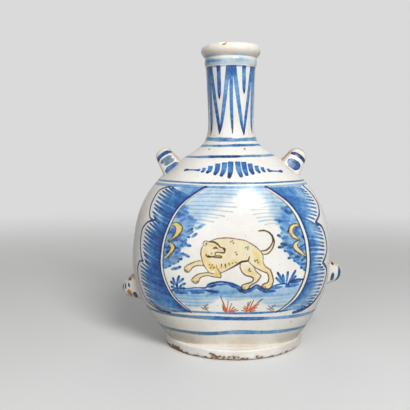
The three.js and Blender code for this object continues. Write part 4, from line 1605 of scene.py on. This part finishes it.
@dataclass
class Bowl:
    """One pressed half of the body, with its painted face."""

    shape: BottleShape
    side: Side
    seed: int
    rows: int = 283
    columns: int = 309
    inner_columns: int = 29
    picture_half: float = 69.0
    border_half: float = 92.0
    specks: Points = (
        (11, 190.2, 2), (-22.2, 190, 2), (53, 31.5, 1.2), (-88.6, 108, 1.2), (24, 183, 1.2),
    )

    def build(self) -> tuple[Shell, Canvas]:
        """Builds the closed half shell and a canvas over its outer face."""
        heights, turns = self._heights(), self._turns()
        shell = Shell()
        height_grid, turn_grid = np.meshgrid(heights, turns, indexing="ij")
        outer_points = self.shape.point(turn_grid + self.side.value, height_grid)
        stride = (self.columns - 1) // (self.inner_columns - 1)
        floor = self.shape.floor + self.shape.wall
        joint = self.shape.neck_joint
        inner_heights = np.interp(heights, (self.shape.floor, 60.0, joint), (floor, 60.0, joint))
        inner_height_grid, inner_turn_grid = np.meshgrid(inner_heights, turns[::stride], indexing="ij")
        inner_points = self.shape.point(
            inner_turn_grid + self.side.value, inner_height_grid, self.shape.wall
        )
        outer, inner = shell.add(outer_points), shell.add(inner_points)
        shell.grid(outer, (0.0, 0.1, 1.0, 1.0))
        shell.grid(inner[:, ::-1], (0.0, 0.0, 0.4, 0.06))
        for end, box in ((0, (0.41, 0.0, 0.45, 0.06)), (-1, (0.46, 0.0, 0.5, 0.06))):
            strip = np.stack([inner[:, end], outer[:, end]], axis=1)
            shell.grid(strip if end == 0 else strip[:, ::-1], box)
        for j in range(self.inner_columns - 1):
            left, right = 0.5 + 0.4 * j / self.inner_columns, 0.5 + 0.4 * (j + 1) / self.inner_columns
            rim = [inner[-1, j + 1], inner[-1, j], *outer[-1, j * stride : (j + 1) * stride + 1]]
            shell.patch(rim, (left, 0.0, right, 0.03))
        shell.patch(outer[0, ::-1], (0.91, 0.0, 0.95, 0.06))
        shell.patch(inner[0, :], (0.96, 0.0, 1.0, 0.06))
        shell.patch((outer[0, 0], outer[0, -1], inner[0, -1], inner[0, 0]), (0.5, 0.04, 0.55, 0.06))
        points = shell.stacked()
        canvas = Canvas(points, PanelChart(self.shape, self.side).flatten(points), outer)
        return shell, canvas

    def _heights(self) -> Array:
        """Row heights, closest together across the picture."""
        tall = np.linspace(self.shape.floor, self.shape.neck_joint, 1600)
        front = run_lengths(np.stack([self.shape.half_depth(tall), tall], axis=1))
        side = run_lengths(np.stack([self.shape.half_width(tall), tall], axis=1))
        picture = smoothstep(36.0, 44.0, tall) * (1 - smoothstep(156.0, 164.0, tall))
        density = 0.72 + 0.32 * picture + 0.14 * smoothstep(158.0, 166.0, tall)
        return np.interp(spread((front + side) / 2, density, self.rows), np.arange(len(tall)), tall)

    def _turns(self) -> Array:
        """Column azimuths from seam to seam, closest together across the picture."""
        turn = np.linspace(-90.0, 90.0, 1801)
        belt = self.shape.point(turn, np.full_like(turn, self.shape.belly_height))
        across = np.abs(belt[:, 0])
        border = 1 - smoothstep(self.border_half - 2, self.border_half + 2, across)
        picture = 1 - smoothstep(self.picture_half - 2, self.picture_half + 3, across)
        density = 0.5 + 0.28 * border + 0.32 * picture
        return np.interp(spread(run_lengths(belt), density, self.columns), np.arange(len(turn)), turn)

    def paint(self, canvas: Canvas) -> None:
        """Paints the face: picture, frame, garland and the lines round the body."""
        rng = np.random.default_rng(self.seed)
        face = Brush(canvas, PanelChart(self.shape, self.side), rng)
        panel = Panel()
        canvas.limit = canvas.within(panel.opening, 1.0)
        Sky().paint(face)
        Ground().paint(face)
        Trees().paint(face)
        canvas.limit = None
        panel.paint_bands(face)
        panel.paint_frame(face)
        Ground().paint_plants(face)
        if self.side is Side.FRONT:
            Beast().paint(face)
        Garland().paint(face)
        round_body = Brush(canvas, TurnChart(self.shape), rng)
        for line in BODY_LINES + SMOKE_LINES:
            line.paint(round_body, self.side.value)
        if self.side is Side.FRONT:
            for x, z, width in self.specks:
                face.stroke(((x, z), (x + 0.3, z + 0.2)), (width, 0.75 * width), (0.7, 0.7), Pigment.BROWN)
        self._grime_and_shade(canvas)

    def _grime_and_shade(self, canvas: Canvas) -> None:
        """Darkens the glaze towards the seam, and, as painted shade that is partly dirt, low down and most
        in the hollow over the foot, heavier on the left, where less light falls.
        """
        height = canvas.points[:, 2]
        seam = 1.0 - smoothstep(4.0, 40.0, np.abs(canvas.points[:, 1]))
        low = 1.0 - smoothstep(14.0, 60.0, height)
        # Painted shade: the left of the low body and of the hollow over the foot gets less light.
        shaded_left = 1.0 - smoothstep(-40.0, 30.0, canvas.points[:, 0])
        groove_shade = (1.0 - smoothstep(13.0, 29.0, height)) * (0.46 + 0.3 * shaded_left)
        canvas.grime_and_shade = np.clip(
            0.4 * seam * (1 - smoothstep(130, 180, height)) + 0.12 * low + groove_shade, 0.0, 1.0
        )

    def make(self, dress: Dress) -> bpy.types.Object:
        """Builds, paints and dresses the bowl."""
        shell, canvas = self.build()
        self.paint(canvas)
        name = f"{self.side.name.lower()}_bowl"
        piece = shell.piece(f"painted_{name}", self.shape.sway(shell.stacked()))
        canvas.store(piece.data)
        return dress.put(piece, BODY_GLAZE, name)


@dataclass
class Neck:
    """The thrown neck with its cordon, painted with rays."""

    shape: BottleShape
    seed: int
    rows: int = 150
    columns: int = 256
    bore_rows: int = 10

    def make(self, dress: Dress) -> bpy.types.Object:
        """Builds, paints and dresses the neck."""
        radius, height = even_steps(self.shape.neck_outline, self.rows)
        bore = np.full(self.bore_rows, self.shape.bore_radius)
        bore_height = np.linspace(height[0], height[-1], self.bore_rows)
        shell = Shell()
        outer = shell.add(turned_ring(radius, height, self.columns))
        inner = shell.add(turned_ring(bore, bore_height, self.columns))
        shell.grid(closed(outer), (0.0, 0.16, 1.0, 1.0))
        shell.grid(closed(inner)[:, ::-1], (0.0, 0.0, 1.0, 0.07))
        shell.grid(closed(np.stack([outer[-1], inner[-1]])), (0.0, 0.08, 1.0, 0.11))
        shell.grid(closed(np.stack([inner[0], outer[0]])), (0.0, 0.12, 1.0, 0.15))
        points = shell.stacked()
        canvas = Canvas(points, points[:, ::2], outer)
        brush = Brush(canvas, TurnChart(self.shape), np.random.default_rng(self.seed))
        NeckRays().paint(brush)
        for line in NECK_LINES:
            for side in Side:
                line.paint(brush, side.value)
        # Darkens the glaze towards the top of the neck.
        canvas.grime_and_shade = 0.16 * smoothstep(262.0, 276.0, canvas.points[:, 2])
        piece = shell.piece("painted_neck", self.shape.sway(points))
        canvas.store(piece.data)
        return dress.put(piece, BODY_GLAZE, "neck_tube")


def turned_ring(radius: Array, height: Array, columns: int) -> Array:
    """Turns a profile round the upright axis, as rows of points, anticlockwise from the front."""
    turn = np.radians(np.arange(columns) * 360.0 / columns)
    across, out = np.sin(turn), -np.cos(turn)
    tall = np.repeat(height[:, None], columns, axis=1)
    return np.stack([radius[:, None] * across, radius[:, None] * out, tall], axis=-1)


def closed(numbers: Array) -> Array:
    """Repeats the first column of a grid of point numbers after its last, so that the grid closes."""
    return np.hstack([numbers, numbers[:, :1]])


def even_steps(profile: Array, count: int) -> tuple[Array, Array]:
    """Samples a profile at even steps along it, as radii and heights."""
    lengths = run_lengths(profile)
    stations = np.linspace(0.0, lengths[-1], count)
    return np.interp(stations, lengths, profile[:, 0]), np.interp(stations, lengths, profile[:, 1])


@dataclass
class Lip:
    """The roll of clay round the mouth, uneven and lightly chipped."""

    shape: BottleShape
    radius: float = 29.2
    widest: float = 284.0
    top: float = 290.0
    crest: float = 22.5
    columns: int = 256
    rows: int = 84

    def make(self, dress: Dress) -> bpy.types.Object:
        """Builds and dresses the lip."""
        root, bore, joint = self.shape.lip_root_radius, self.shape.bore_radius, self.shape.lip_joint
        taper = (root + 0.45 * (self.radius - root), joint + 2.4)
        profile = np.vstack([
            bezier(
                ((root, joint), taper, (self.radius, self.widest - 3.0), (self.radius, self.widest)), 30
            ),
            bezier(((self.radius, self.widest), (self.radius, self.top), (self.crest, self.top)), 40)[1:],
            bezier(((self.crest, self.top), (bore, self.top), (bore, self.widest)), 24)[1:],
            [[bore, joint]],
        ])
        radius, height = even_steps(profile, self.rows)
        shell = Shell()
        rings = shell.add(turned_ring(radius, height, self.columns))
        loop = closed(rings)
        shell.grid(loop, (0.0, 0.1, 1.0, 1.0))
        shell.grid(np.stack([loop[-1], loop[0]]), (0.0, 0.0, 1.0, 0.07))
        points = shell.stacked()
        canvas = Canvas(points, points[:, ::2])
        tall = points[:, 2]
        belt = smoothstep(279.0, 284.0, tall) * (1 - smoothstep(285.0, 288.6, tall))
        canvas.grime_and_shade = 0.04 + 0.14 * belt
        canvas.veil((0.16 + 0.1 * np.sin(points[:, 0] / 5.0)) * (1 - smoothstep(277.6, 280.4, tall)))
        chip = np.array([-7.8, -25.8, 288.4])
        depth = 3.0 - np.linalg.norm((points - chip) * (0.9, 0.8, 1.1), axis=1)
        canvas.bare = np.maximum(canvas.bare, depth - 1.3)
        piece = shell.piece("rolled_lip", self._uneven(points, np.clip(depth, 0.0, 1.2)))
        canvas.store(piece.data)
        return dress.put(piece, LIP_GLAZE, "lip_roll")

    def _uneven(self, points: Array, chipped: Array) -> Array:
        """Sinks the rim unevenly and takes out its chip."""
        moved = self.shape.sway(points)
        turn = np.arctan2(points[:, 0], -points[:, 1])
        lift = smoothstep(self.shape.lip_joint + 2.0, self.top, points[:, 2])
        dip = 0.38 - 0.3 * np.sin(turn) + 0.16 * np.sin(3 * turn + 0.4) + 0.1 * np.sin(8 * turn)
        ragged = 0.09 * np.sin(19 * turn + 1.1) + 0.07 * np.sin(31 * turn)
        moved[:, 2] -= lift * np.clip(dip + ragged, 0.05, 2.0)
        roll = 0.25 * np.sin(2 * turn + 0.9) + 0.12 * np.sin(7 * turn) - 0.3
        outward = points[:, :2] / np.linalg.norm(points[:, :2], axis=1)[:, None]
        moved[:, :2] += outward * (lift * roll - 0.8 * chipped)[:, None]
        moved[:, 2] -= chipped * lift
        return moved


@dataclass
class Foot:
    """The turned foot ring, with its ledge, worn tread and chipped edge."""

    shape: BottleShape
    seed: int
    radius: float = 67.5
    inner: float = 56.5
    tread: float = 65.0
    ledge: float = 9.3
    side_lift: float = 1.2
    fillet_run: float = 8.0
    fillet_rise: float = 4.5
    columns: int = 480

    def make(self, dress: Dress) -> bpy.types.Object:
        """Builds and dresses the foot."""
        turns = np.arange(self.columns) * 360.0 / self.columns
        rings = np.stack([self._profile(float(turn)) for turn in turns], axis=1)
        shell = Shell()
        numbers = shell.add(rings)
        loop = closed(numbers)
        shell.grid(np.vstack([loop, loop[:1]]), (0.0, 0.0, 1.0, 1.0))
        points = shell.stacked()
        canvas = Canvas(points, points[:, ::2])
        notch = self._chips(points)
        height = points[:, 2]
        turn = np.arctan2(points[:, 0], -points[:, 1])
        around = np.degrees(turn)
        left = smoothstep(-84.0, -70.0, around) * (1 - smoothstep(-50.0, -36.0, around))
        middle = smoothstep(-26.0, -20.0, around) * (1 - smoothstep(6.0, 24.0, around))
        frayed = 1.5 * left + 0.6 * middle
        canvas.bare = np.maximum(notch - 0.25, 0.5 + frayed - height)
        # Painted shade, partly dirt, in the hollow between the ledge and the body; the glaze is also darker
        # towards the tread and round the chips.
        groove_shade = smoothstep(self.ledge + 0.2, self.ledge + 1.8, height)
        groove_shade *= 1 - 0.4 * smoothstep(12.0, 13.8, height)
        tread = 1 - smoothstep(0.5, 3.5, height)
        grimed_and_shaded = 0.04 + 0.3 * tread + 0.56 * groove_shade + 0.6 * smoothstep(-1.6, 0.2, notch)
        canvas.grime_and_shade = np.minimum(grimed_and_shaded, 1.0)
        radius = np.linalg.norm(points[:, :2], axis=1)
        outward = points[:, :2] / radius[:, None]
        uneven = 0.1 * np.sin(5 * turn + 0.4) + 0.06 * np.sin(13 * turn) - 0.22
        uneven += 0.05 * np.sin(29 * turn + height)
        moved = points.copy()
        cut = np.clip(notch, 0.0, 1.6)
        swell = smoothstep(self.tread - 3.0, self.radius, radius) * uneven
        moved[:, :2] += outward * (swell - 0.75 * cut)[:, None]
        moved[:, 2] += 0.35 * cut * (1 - smoothstep(0.0, 6.0, height))
        piece = shell.piece("turned_foot", self.shape.sway(moved))
        canvas.store(piece.data)
        return dress.put(piece, FOOT_GLAZE, "foot_ring")

    def _profile(self, turn: float) -> Array:
        """Traces the ring's section at one azimuth, from the tread to the joint under the floor.

        Args:
            turn: The azimuth in degrees.

        Returns:
            The points of the section.
        """
        tall = np.linspace(self.shape.floor, self.shape.floor + 8.0, 81)
        wall = np.linalg.norm(self.shape.point(np.full_like(tall, turn), tall)[:, :2], axis=1)
        ledge = self.ledge + self.side_lift * math.sin(math.radians(turn)) ** 2
        base = float(np.interp(ledge, tall, wall))
        top = ledge + self.fillet_rise * min(max((self.tread - base) / self.fillet_run, 0.0), 1.0)
        meet = (float(np.interp(top, tall, wall)) - 0.1, top)
        inside = min(self.inner, float(wall[0]) - 1.5)
        bulge, upright = (self.radius, 2.8), (self.radius - 0.1, ledge - 2.2)
        shoulder = (self.tread + 0.8, ledge)
        section = np.vstack([
            np.linspace((inside, 0.0), (self.tread, 0.0), 9),
            bezier(((self.tread, 0.0), (self.radius, 0.0), bulge), 10)[1:],
            np.linspace(bulge, upright, 7)[1:],
            bezier((upright, (self.radius - 0.1, ledge), shoulder), 8)[1:],
            bezier((shoulder, (base + 0.1, ledge + 0.1), meet), 14)[1:],
            np.linspace((wall[0] - 0.6, self.shape.floor + 0.1), (inside, self.shape.floor + 0.1), 6),
            np.linspace((inside, self.shape.floor + 0.1), (inside, 0.0), 6)[1:-1],
        ])
        angle = math.radians(turn)
        radius, height = section.T
        return np.stack([radius * math.sin(angle), -radius * math.cos(angle), height], axis=1)

    def _chips(self, points: Array) -> Array:
        """How deep each point lies in a chip of the outer edge."""
        rng = np.random.default_rng(self.seed)
        notch = np.full(len(points), -3.0)
        marks = [
            (-74, 1.2, 1.8), (-68, 1.6, 2.2), (-62, 2.6, 2.6), (-57.5, 2.4, 3), (-53.5, 2.6, 3.2),
            (-49.5, 1.4, 2.4), (-43, 0.8, 1.7), (-33, 0.8, 1.5), (-21, 5, 1.6), (-19, 3.8, 2.4),
            (-17, 2.4, 2.1), (-13.5, 3.2, 1.5), (-10.5, 2.6, 1.7), (-6.5, 3, 1.4), (-2.5, 2.4, 1.6),
            (0.5, 3, 1.2), (4.5, 1.6, 1.5), (15.5, 2.6, 1.8), (19.5, 1.4, 1.5),
        ]
        marks += [(rng.uniform(-180, 180), rng.uniform(0.3, 1.6), rng.uniform(0.8, 1.7)) for _ in range(70)]
        marks += [(rng.uniform(-20, 3), rng.uniform(0.8, 4.2), rng.uniform(0.6, 1.3)) for _ in range(14)]
        for turn, height, size in marks:
            angle = math.radians(turn)
            spot = np.array([self.radius * math.sin(angle), -self.radius * math.cos(angle), height])
            notch = np.maximum(notch, size - np.linalg.norm((points - spot) * (1.0, 1.0, 1.25), axis=1))
        return notch


@dataclass(frozen=True)
class LoopSeat:
    """Where a cord loop sits, and how far it stands out: by its reach, or up to a half breadth."""

    side: int
    height: float
    root_width: float
    tip: float = 0.0
    reach: float = 0.0
    half_breadth: float = 0.0
    worn_from: float = 0.9
    worn_top: float = 1.2


class LoopPlace(Enum):
    """The four cord loops."""

    SHOULDER_LEFT = LoopSeat(-1, 173.0, 20.0, tip=5.0, reach=16.0)
    SHOULDER_RIGHT = LoopSeat(1, 173.0, 20.0, tip=5.0, reach=16.0)
    HIP_LEFT = LoopSeat(-1, 55.0, 22.5, half_breadth=108.6, worn_from=0.74, worn_top=1.08)
    HIP_RIGHT = LoopSeat(1, 69.0, 21.0, half_breadth=110.3, worn_from=0.74, worn_top=1.08)


@dataclass
class CordLoop:
    """A pulled strap that bridges the seam, with a hole for the cord behind it."""

    shape: BottleShape
    place: LoopPlace
    half_span: float = 10.5
    thickness: float = 8.0
    crown_width: float = 17.0
    root_depth: float = 9.0
    sunk: float = 4.5
    dome: float = 2.4
    roundness: float = 0.82
    stations: int = 121
    sides: int = 64
    arc_steps: int = 26

    @cached_property
    def axes(self) -> tuple[Array, Array, Array, Array]:
        """Where the loop sits on the wall, and its outward, seamward and cordward directions."""
        spot, lean = self.place.value, self.lean
        seat = np.array([spot.side * float(self.shape.half_width(spot.height)), 0.0, spot.height])
        out = np.array([spot.side * math.cos(lean), 0.0, math.sin(lean)])
        cord = np.array([-spot.side * math.sin(lean), 0.0, math.cos(lean)])
        return seat, out, np.array([0.0, 1.0, 0.0]), cord

    @cached_property
    def lean(self) -> float:
        """How far the loop's outward direction tips up, in radians."""
        return self.shape.wall_lean(self.place.value.height) + math.radians(self.place.value.tip)

    @cached_property
    def reach(self) -> float:
        """How far the middle of the strap stands out of the wall."""
        spot, lean = self.place.value, self.lean
        if spot.reach:
            return spot.reach
        spread_out = math.hypot(self.thickness / 2 * math.cos(lean), self.crown_width / 2 * math.sin(lean))
        return (spot.half_breadth - float(self.shape.half_width(spot.height)) - spread_out) / math.cos(lean)

    def strap(self, turn: Array) -> tuple[Array, Array, Array, Array]:
        """Follows the strap from its front root over the crown to its back root.

        Args:
            turn: Degrees along it, 0 at the crown.

        Returns:
            Its middle (out, across), its outward direction there, its half thickness and its half width.
        """
        angle = np.radians(turn)
        out = (self.reach + self.root_depth) * np.cos(angle) - self.root_depth
        across = self.half_span * np.sign(angle) * np.abs(np.sin(angle)) ** 0.6
        middle = np.stack([out, across], axis=1)
        along = np.gradient(middle, axis=0)
        along /= np.linalg.norm(along, axis=1)[:, None]
        rooted = 1.0 - smoothstep(0.0, self.reach, out)
        width = self.crown_width + (self.place.value.root_width - self.crown_width) * rooted
        flare = 1.0 - smoothstep(-3.0, 4.0, out)
        thick = self.thickness / 2 * (1.0 + 0.28 * flare)
        return middle, np.stack([along[:, 1], -along[:, 0]], axis=1), thick, width / 2 * (1.0 + 0.1 * flare)

    def span(self) -> Array:
        """The turns along the strap, cut where its roots lie hidden in the wall."""
        limit = math.degrees(math.acos((self.root_depth - self.sunk) / (self.reach + self.root_depth)))
        return np.linspace(-limit, limit, self.stations)

    def on_strap(self, turn: Array, angle: Array) -> Array:
        """Points on the strap's skin.

        Args:
            turn: Degrees along the strap, climbing.
            angle: Radians round its section, 0 on the outer face.

        Returns:
            The points, a row for each turn.
        """
        seat, out, seam, cord = self.axes
        middle, normal, thick, wide = self.strap(turn)
        over, up = (
            np.sign(part) * np.abs(part) ** self.roundness for part in (np.cos(angle), np.sin(angle))
        )
        bulge = thick[:, None] * over[None, :]
        flat = middle[:, None, :] + normal[:, None, :] * bulge[..., None]
        rise = wide[:, None] * up[None, :]
        flat[..., 0] -= self.dome * smoothstep(0.0, self.reach, middle[:, :1]) * np.sin(angle)[None, :] ** 2
        return seat + flat[..., :1] * out + flat[..., 1:] * seam + rise[..., None] * cord

    def make(self, dress: Dress) -> bpy.types.Object:
        """Builds, paints and dresses the loop."""
        turns = self.span()
        angles = np.linspace(0.0, 2 * math.pi, self.sides, endpoint=False)
        shell = Shell()
        rings = shell.add(self.on_strap(turns, angles))
        shell.grid(closed(rings), (0.0, 0.08, 1.0, 1.0))
        shell.patch(rings[0, ::-1], (0.0, 0.0, 0.07, 0.07))
        shell.patch(rings[-1], (0.1, 0.0, 0.17, 0.07))
        points = shell.stacked()
        flat = np.stack([np.repeat(turns, self.sides), np.tile(angles, self.stations)], axis=1)
        canvas = Canvas(points, flat)
        self._paint(canvas)
        node = self.place.name.lower().replace("_", "_loop_")
        piece = shell.piece(f"glazed_{node}", self.shape.sway(points))
        canvas.store(piece.data)
        return dress.put(piece, LOOP_GLAZE, node)

    def _paint(self, canvas: Canvas) -> None:
        """Paints the arcs over the strap, chips it, leaves the clay bare behind it and darkens it there as
        painted shade in the cord hole, and darkens the worn top.
        """
        for turn, start, end, width, tone, pigment in LOOP_ARCS[self.place]:
            at, inside, depth = canvas.along(*self._arc(turn, start, end, width, tone))
            canvas.lay(pigment, at, inside, depth)
        # Painted shade over bare clay on the inside face, in the cord hole; the top is darkened and rubbed
        # bare as wear.
        hidden = 0.5 - 0.5 * np.cos(canvas.flat[:, 1])
        upper = np.sin(canvas.flat[:, 1])
        grimed_and_shaded = 0.1 + 0.8 * smoothstep(0.55, 0.95, hidden) + 0.7 * smoothstep(0.6, 0.95, upper)
        canvas.grime_and_shade = np.minimum(grimed_and_shaded, 1.0)
        rubbed = 6.0 * (upper - self.place.value.worn_top)
        canvas.bare = np.maximum(4.0 * (hidden - self.place.value.worn_from), rubbed)
        for turn, start, end, width in LOOP_CHIPS.get(self.place, ()):
            at, inside, _ = canvas.along(*self._arc(turn, start, end, width, 1.0))
            canvas.bare[at] = np.maximum(canvas.bare[at], inside)

    def _arc(self, turn: float, start: float, end: float, width: float, tone: float) -> Triple:
        """Lays out a stroke across the strap.

        Args:
            turn: Where it crosses, in degrees along the strap.
            start: Where it starts round the section, in degrees.
            end: Where it ends.
            width: Its width.
            tone: Its strength.

        Returns:
            Its path on the clay, its half widths and its strengths.
        """
        angle = np.radians(np.linspace(start, end, self.arc_steps))
        path = self.on_strap(np.linspace(turn - 1.0, turn + 1.0, 3), angle)[1]
        half = width / 2 * np.interp(np.linspace(0, 1, self.arc_steps), (0, 0.2, 0.8, 1), (0.6, 1, 1, 0.6))
        return path, half, np.full(self.arc_steps, tone)


LOOP_ARCS: dict[LoopPlace, Sequence[tuple[float, float, float, float, float, Pigment]]] = {
    LoopPlace.SHOULDER_LEFT: (
        (-30, -70, 58, 4.2, 0.8, Pigment.COBALT), (-47, -34, 28, 4.4, 0.42, Pigment.COBALT),
        (-47, -32, 26, 4.2, 0.32, Pigment.BROWN), (-57, -20, 34, 3.8, 0.46, Pigment.COBALT),
        (-57, -18, 32, 3.6, 0.28, Pigment.BROWN), (-72, -28, 32, 6.6, 0.8, Pigment.COBALT),
        (28, -66, 66, 3.2, 0.72, Pigment.COBALT), (46, -58, 58, 1.5, 0.85, Pigment.NAVY),
    ),
    LoopPlace.SHOULDER_RIGHT: (
        (-36, -66, 54, 3.8, 0.82, Pigment.COBALT), (-36, -66, 52, 3.6, 0.36, Pigment.BROWN),
        (-62, -22, 20, 8.4, 0.84, Pigment.COBALT), (-52.5, -20, 18, 1.2, 0.9, Pigment.NAVY),
        # The navy arc at -10 along the strap is a painted shade along the crown's edge.
        (-71.5, -20, 18, 1.3, 0.9, Pigment.NAVY), (-10, -66, 50, 1.6, 0.8, Pigment.NAVY),
        (28, -66, 66, 3.2, 0.72, Pigment.COBALT), (54, -24, 24, 6, 0.7, Pigment.COBALT),
    ),
    LoopPlace.HIP_LEFT: (
        (-20, 6, 52, 1.8, 0.95, Pigment.NAVY), (-31, 8, 46, 1.8, 0.95, Pigment.NAVY),
        (-45, 14, 34, 2.2, 0.95, Pigment.NAVY), (-54, -42, -18, 4.2, 0.6, Pigment.COBALT),
        # The brown arc from 60 to 88 degrees is a painted shadow in the cord hole's opening.
        (-54, -42, -18, 4.2, 0.4, Pigment.BROWN), (-52, 60, 88, 3, 0.9, Pigment.BROWN),
        (25, -50, 56, 2.6, 0.75, Pigment.COBALT), (48, -46, 46, 1.6, 0.85, Pigment.NAVY),
    ),
    LoopPlace.HIP_RIGHT: (
        (-27, -64, 40, 4.4, 0.74, Pigment.COBALT), (-27, -60, 36, 3.6, 0.2, Pigment.BROWN),
        (-8, -60, 56, 1.7, 0.92, Pigment.NAVY), (-53, -32, 0, 4.2, 0.6, Pigment.COBALT),
        # The brown arc from 56 to 80 degrees is a painted shadow in the cord hole's opening.
        (-53, -30, -2, 3.6, 0.4, Pigment.BROWN), (-58, 56, 80, 3.4, 0.95, Pigment.BROWN),
        (25, -50, 56, 2.6, 0.75, Pigment.COBALT), (48, -46, 46, 1.6, 0.85, Pigment.NAVY),
    ),
}
LOOP_CHIPS: dict[LoopPlace, Sequence[tuple[float, float, float, float]]] = {
    LoopPlace.HIP_LEFT: ((-39.0, -28.0, -2.0, 4.4), (20.0, -60.0, -50.0, 2.0)),
    LoopPlace.HIP_RIGHT: ((14.0, 50.0, 60.0, 1.8),),
}


@dataclass(frozen=True)
class Studio:
    """The plain floor, the soft lights and the camera."""

    floor_radius: float = 1.5
    pale: Colour = (0.78, 0.78, 0.77, 1.0)
    bounce: Colour = (0.2, 0.2, 0.2, 1.0)
    ambient: float = 0.13
    backdrop: float = 0.7
    lens: float = 55.25
    sensor: float = 36.0
    camera_azimuth: float = -3.5
    camera_distance: float = 0.62
    camera_height: float = 0.19115
    tilt: float = 5.18
    yaw: float = 2.366
    lamp_aim: float = 0.14

    def make(self) -> None:
        """Makes everything round the bottle."""
        self._floor()
        self._world()
        self._lamp("key", (0.42, -1.15, 0.95), 0.6, 20.0)
        self._lamp("fill", (-0.6, -1.2, 0.55), 0.9, 5.0)
        self._lamp("rear", (0.0, 1.3, 0.9), 0.9, 4.0, mirrored=False)
        self._camera()
        bpy.context.scene.view_settings.view_transform = "Standard"

    def _floor(self) -> None:
        """Lays a round floor that fades into the backdrop."""
        rings, columns = 24, 96
        radius = self.floor_radius * np.linspace(0.0, 1.0, rings + 1)[1:] ** 1.5
        shell = Shell()
        points = shell.add(turned_ring(radius, np.zeros(rings), columns))
        middle = shell.add(np.zeros((1, 3)))
        loop = closed(points)
        shell.grid(loop, (0.0, 0.0, 1.0, 1.0))
        for j in range(columns):
            shell.patch((loop[0, j + 1], loop[0, j], middle[0]), (0.0, 0.0, 0.01, 0.01))
        floor = shell.piece("floor", shell.stacked() / MM)
        board = Board("floor")
        path = board.node("ShaderNodeLightPath")
        seen = board.math("MAXIMUM", path.outputs["Is Camera Ray"], path.outputs["Is Glossy Ray"])
        seen = board.math("MAXIMUM", seen, path.outputs["Is Transmission Ray"])
        board.feed(board.shader.inputs["Base Color"], board.mix(seen, self.bounce, self.pale))
        board.shader.inputs["Roughness"].default_value = 0.7
        clear = board.node("ShaderNodeBsdfTransparent")
        blend = board.node("ShaderNodeMixShader")
        length = board.node("ShaderNodeVectorMath", operation="LENGTH")
        board.feed(length.inputs[0], board.place)
        faded = board.ease(length.outputs["Value"], 0.25 * self.floor_radius, 0.9 * self.floor_radius)
        board.feed(blend.inputs[0], faded)
        board.tree.links.new(board.shader.outputs[0], blend.inputs[1])
        board.tree.links.new(clear.outputs[0], blend.inputs[2])
        board.tree.links.new(blend.outputs[0], board.tree.nodes["Material Output"].inputs["Surface"])
        floor.data.materials.append(board.material)

    def _world(self) -> None:
        """Gives an even light, and the same pale backdrop to the camera and to reflections."""
        world = bpy.data.worlds.new("studio")
        bpy.context.scene.world = world
        world.use_nodes = True
        tree = world.node_tree
        back = tree.nodes["Background"]
        back.inputs["Color"].default_value = (1.0, 1.0, 1.0, 1.0)
        path = tree.nodes.new("ShaderNodeLightPath")
        seen = path.outputs["Is Camera Ray"]
        for name in ("Is Glossy Ray", "Is Transmission Ray"):
            either = tree.nodes.new("ShaderNodeMath")
            either.operation = "MAXIMUM"
            tree.links.new(seen, either.inputs[0])
            tree.links.new(path.outputs[name], either.inputs[1])
            seen = either.outputs[0]
        level = tree.nodes.new("ShaderNodeMapRange")
        level.inputs["To Min"].default_value = self.ambient
        level.inputs["To Max"].default_value = self.backdrop
        tree.links.new(seen, level.inputs["Value"])
        tree.links.new(level.outputs["Result"], back.inputs["Strength"])

    def _lamp(self, name: str, place: Place, size: float, power: float, mirrored: bool = True) -> None:
        """Hangs a soft square lamp that looks at the bottle's middle, seen or unseen in reflections."""
        light = bpy.data.lights.new(name, "AREA")
        light.shape, light.size, light.energy = "SQUARE", size, power
        lamp = bpy.data.objects.new(name, light)
        lamp.visible_glossy = mirrored
        lamp.location = place
        towards = Vector((0.0, 0.0, self.lamp_aim)) - lamp.location
        lamp.rotation_euler = towards.to_track_quat("-Z", "Y").to_euler()
        bpy.context.scene.collection.objects.link(lamp)

    def _camera(self) -> None:
        """Sets the camera where the photograph was taken from."""
        azimuth, yaw, tilt = (math.radians(angle) for angle in (self.camera_azimuth, self.yaw, self.tilt))
        lens = bpy.data.cameras.new("camera")
        lens.lens, lens.sensor_width, lens.clip_start = self.lens, self.sensor, 0.01
        camera = bpy.data.objects.new("camera", lens)
        away = self.camera_distance
        camera.location = (math.sin(azimuth) * away, -math.cos(azimuth) * away, self.camera_height)
        forward = Vector((-math.sin(yaw + azimuth), math.cos(yaw + azimuth), 0.0))
        look = Vector((forward.x * math.cos(tilt), forward.y * math.cos(tilt), -math.sin(tilt)))
        camera.rotation_euler = look.to_track_quat("-Z", "Y").to_euler()
        bpy.context.scene.collection.objects.link(camera)
        bpy.context.scene.camera = camera


def main() -> None:
    """Builds the bottle piece by piece and sets it in the studio."""
    logging.basicConfig(level=logging.INFO)
    shape, dress = BottleShape(), Dress()
    Studio().make()
    for side, seed in ((Side.FRONT, 11), (Side.BACK, 23)):
        Bowl(shape, side, seed).make(dress)
    Neck(shape, 5).make(dress)
    Lip(shape).make(dress)
    Foot(shape, 7).make(dress)
    for place in LoopPlace:
        CordLoop(shape, place).make(dress)


if __name__ == "__main__":
    main()
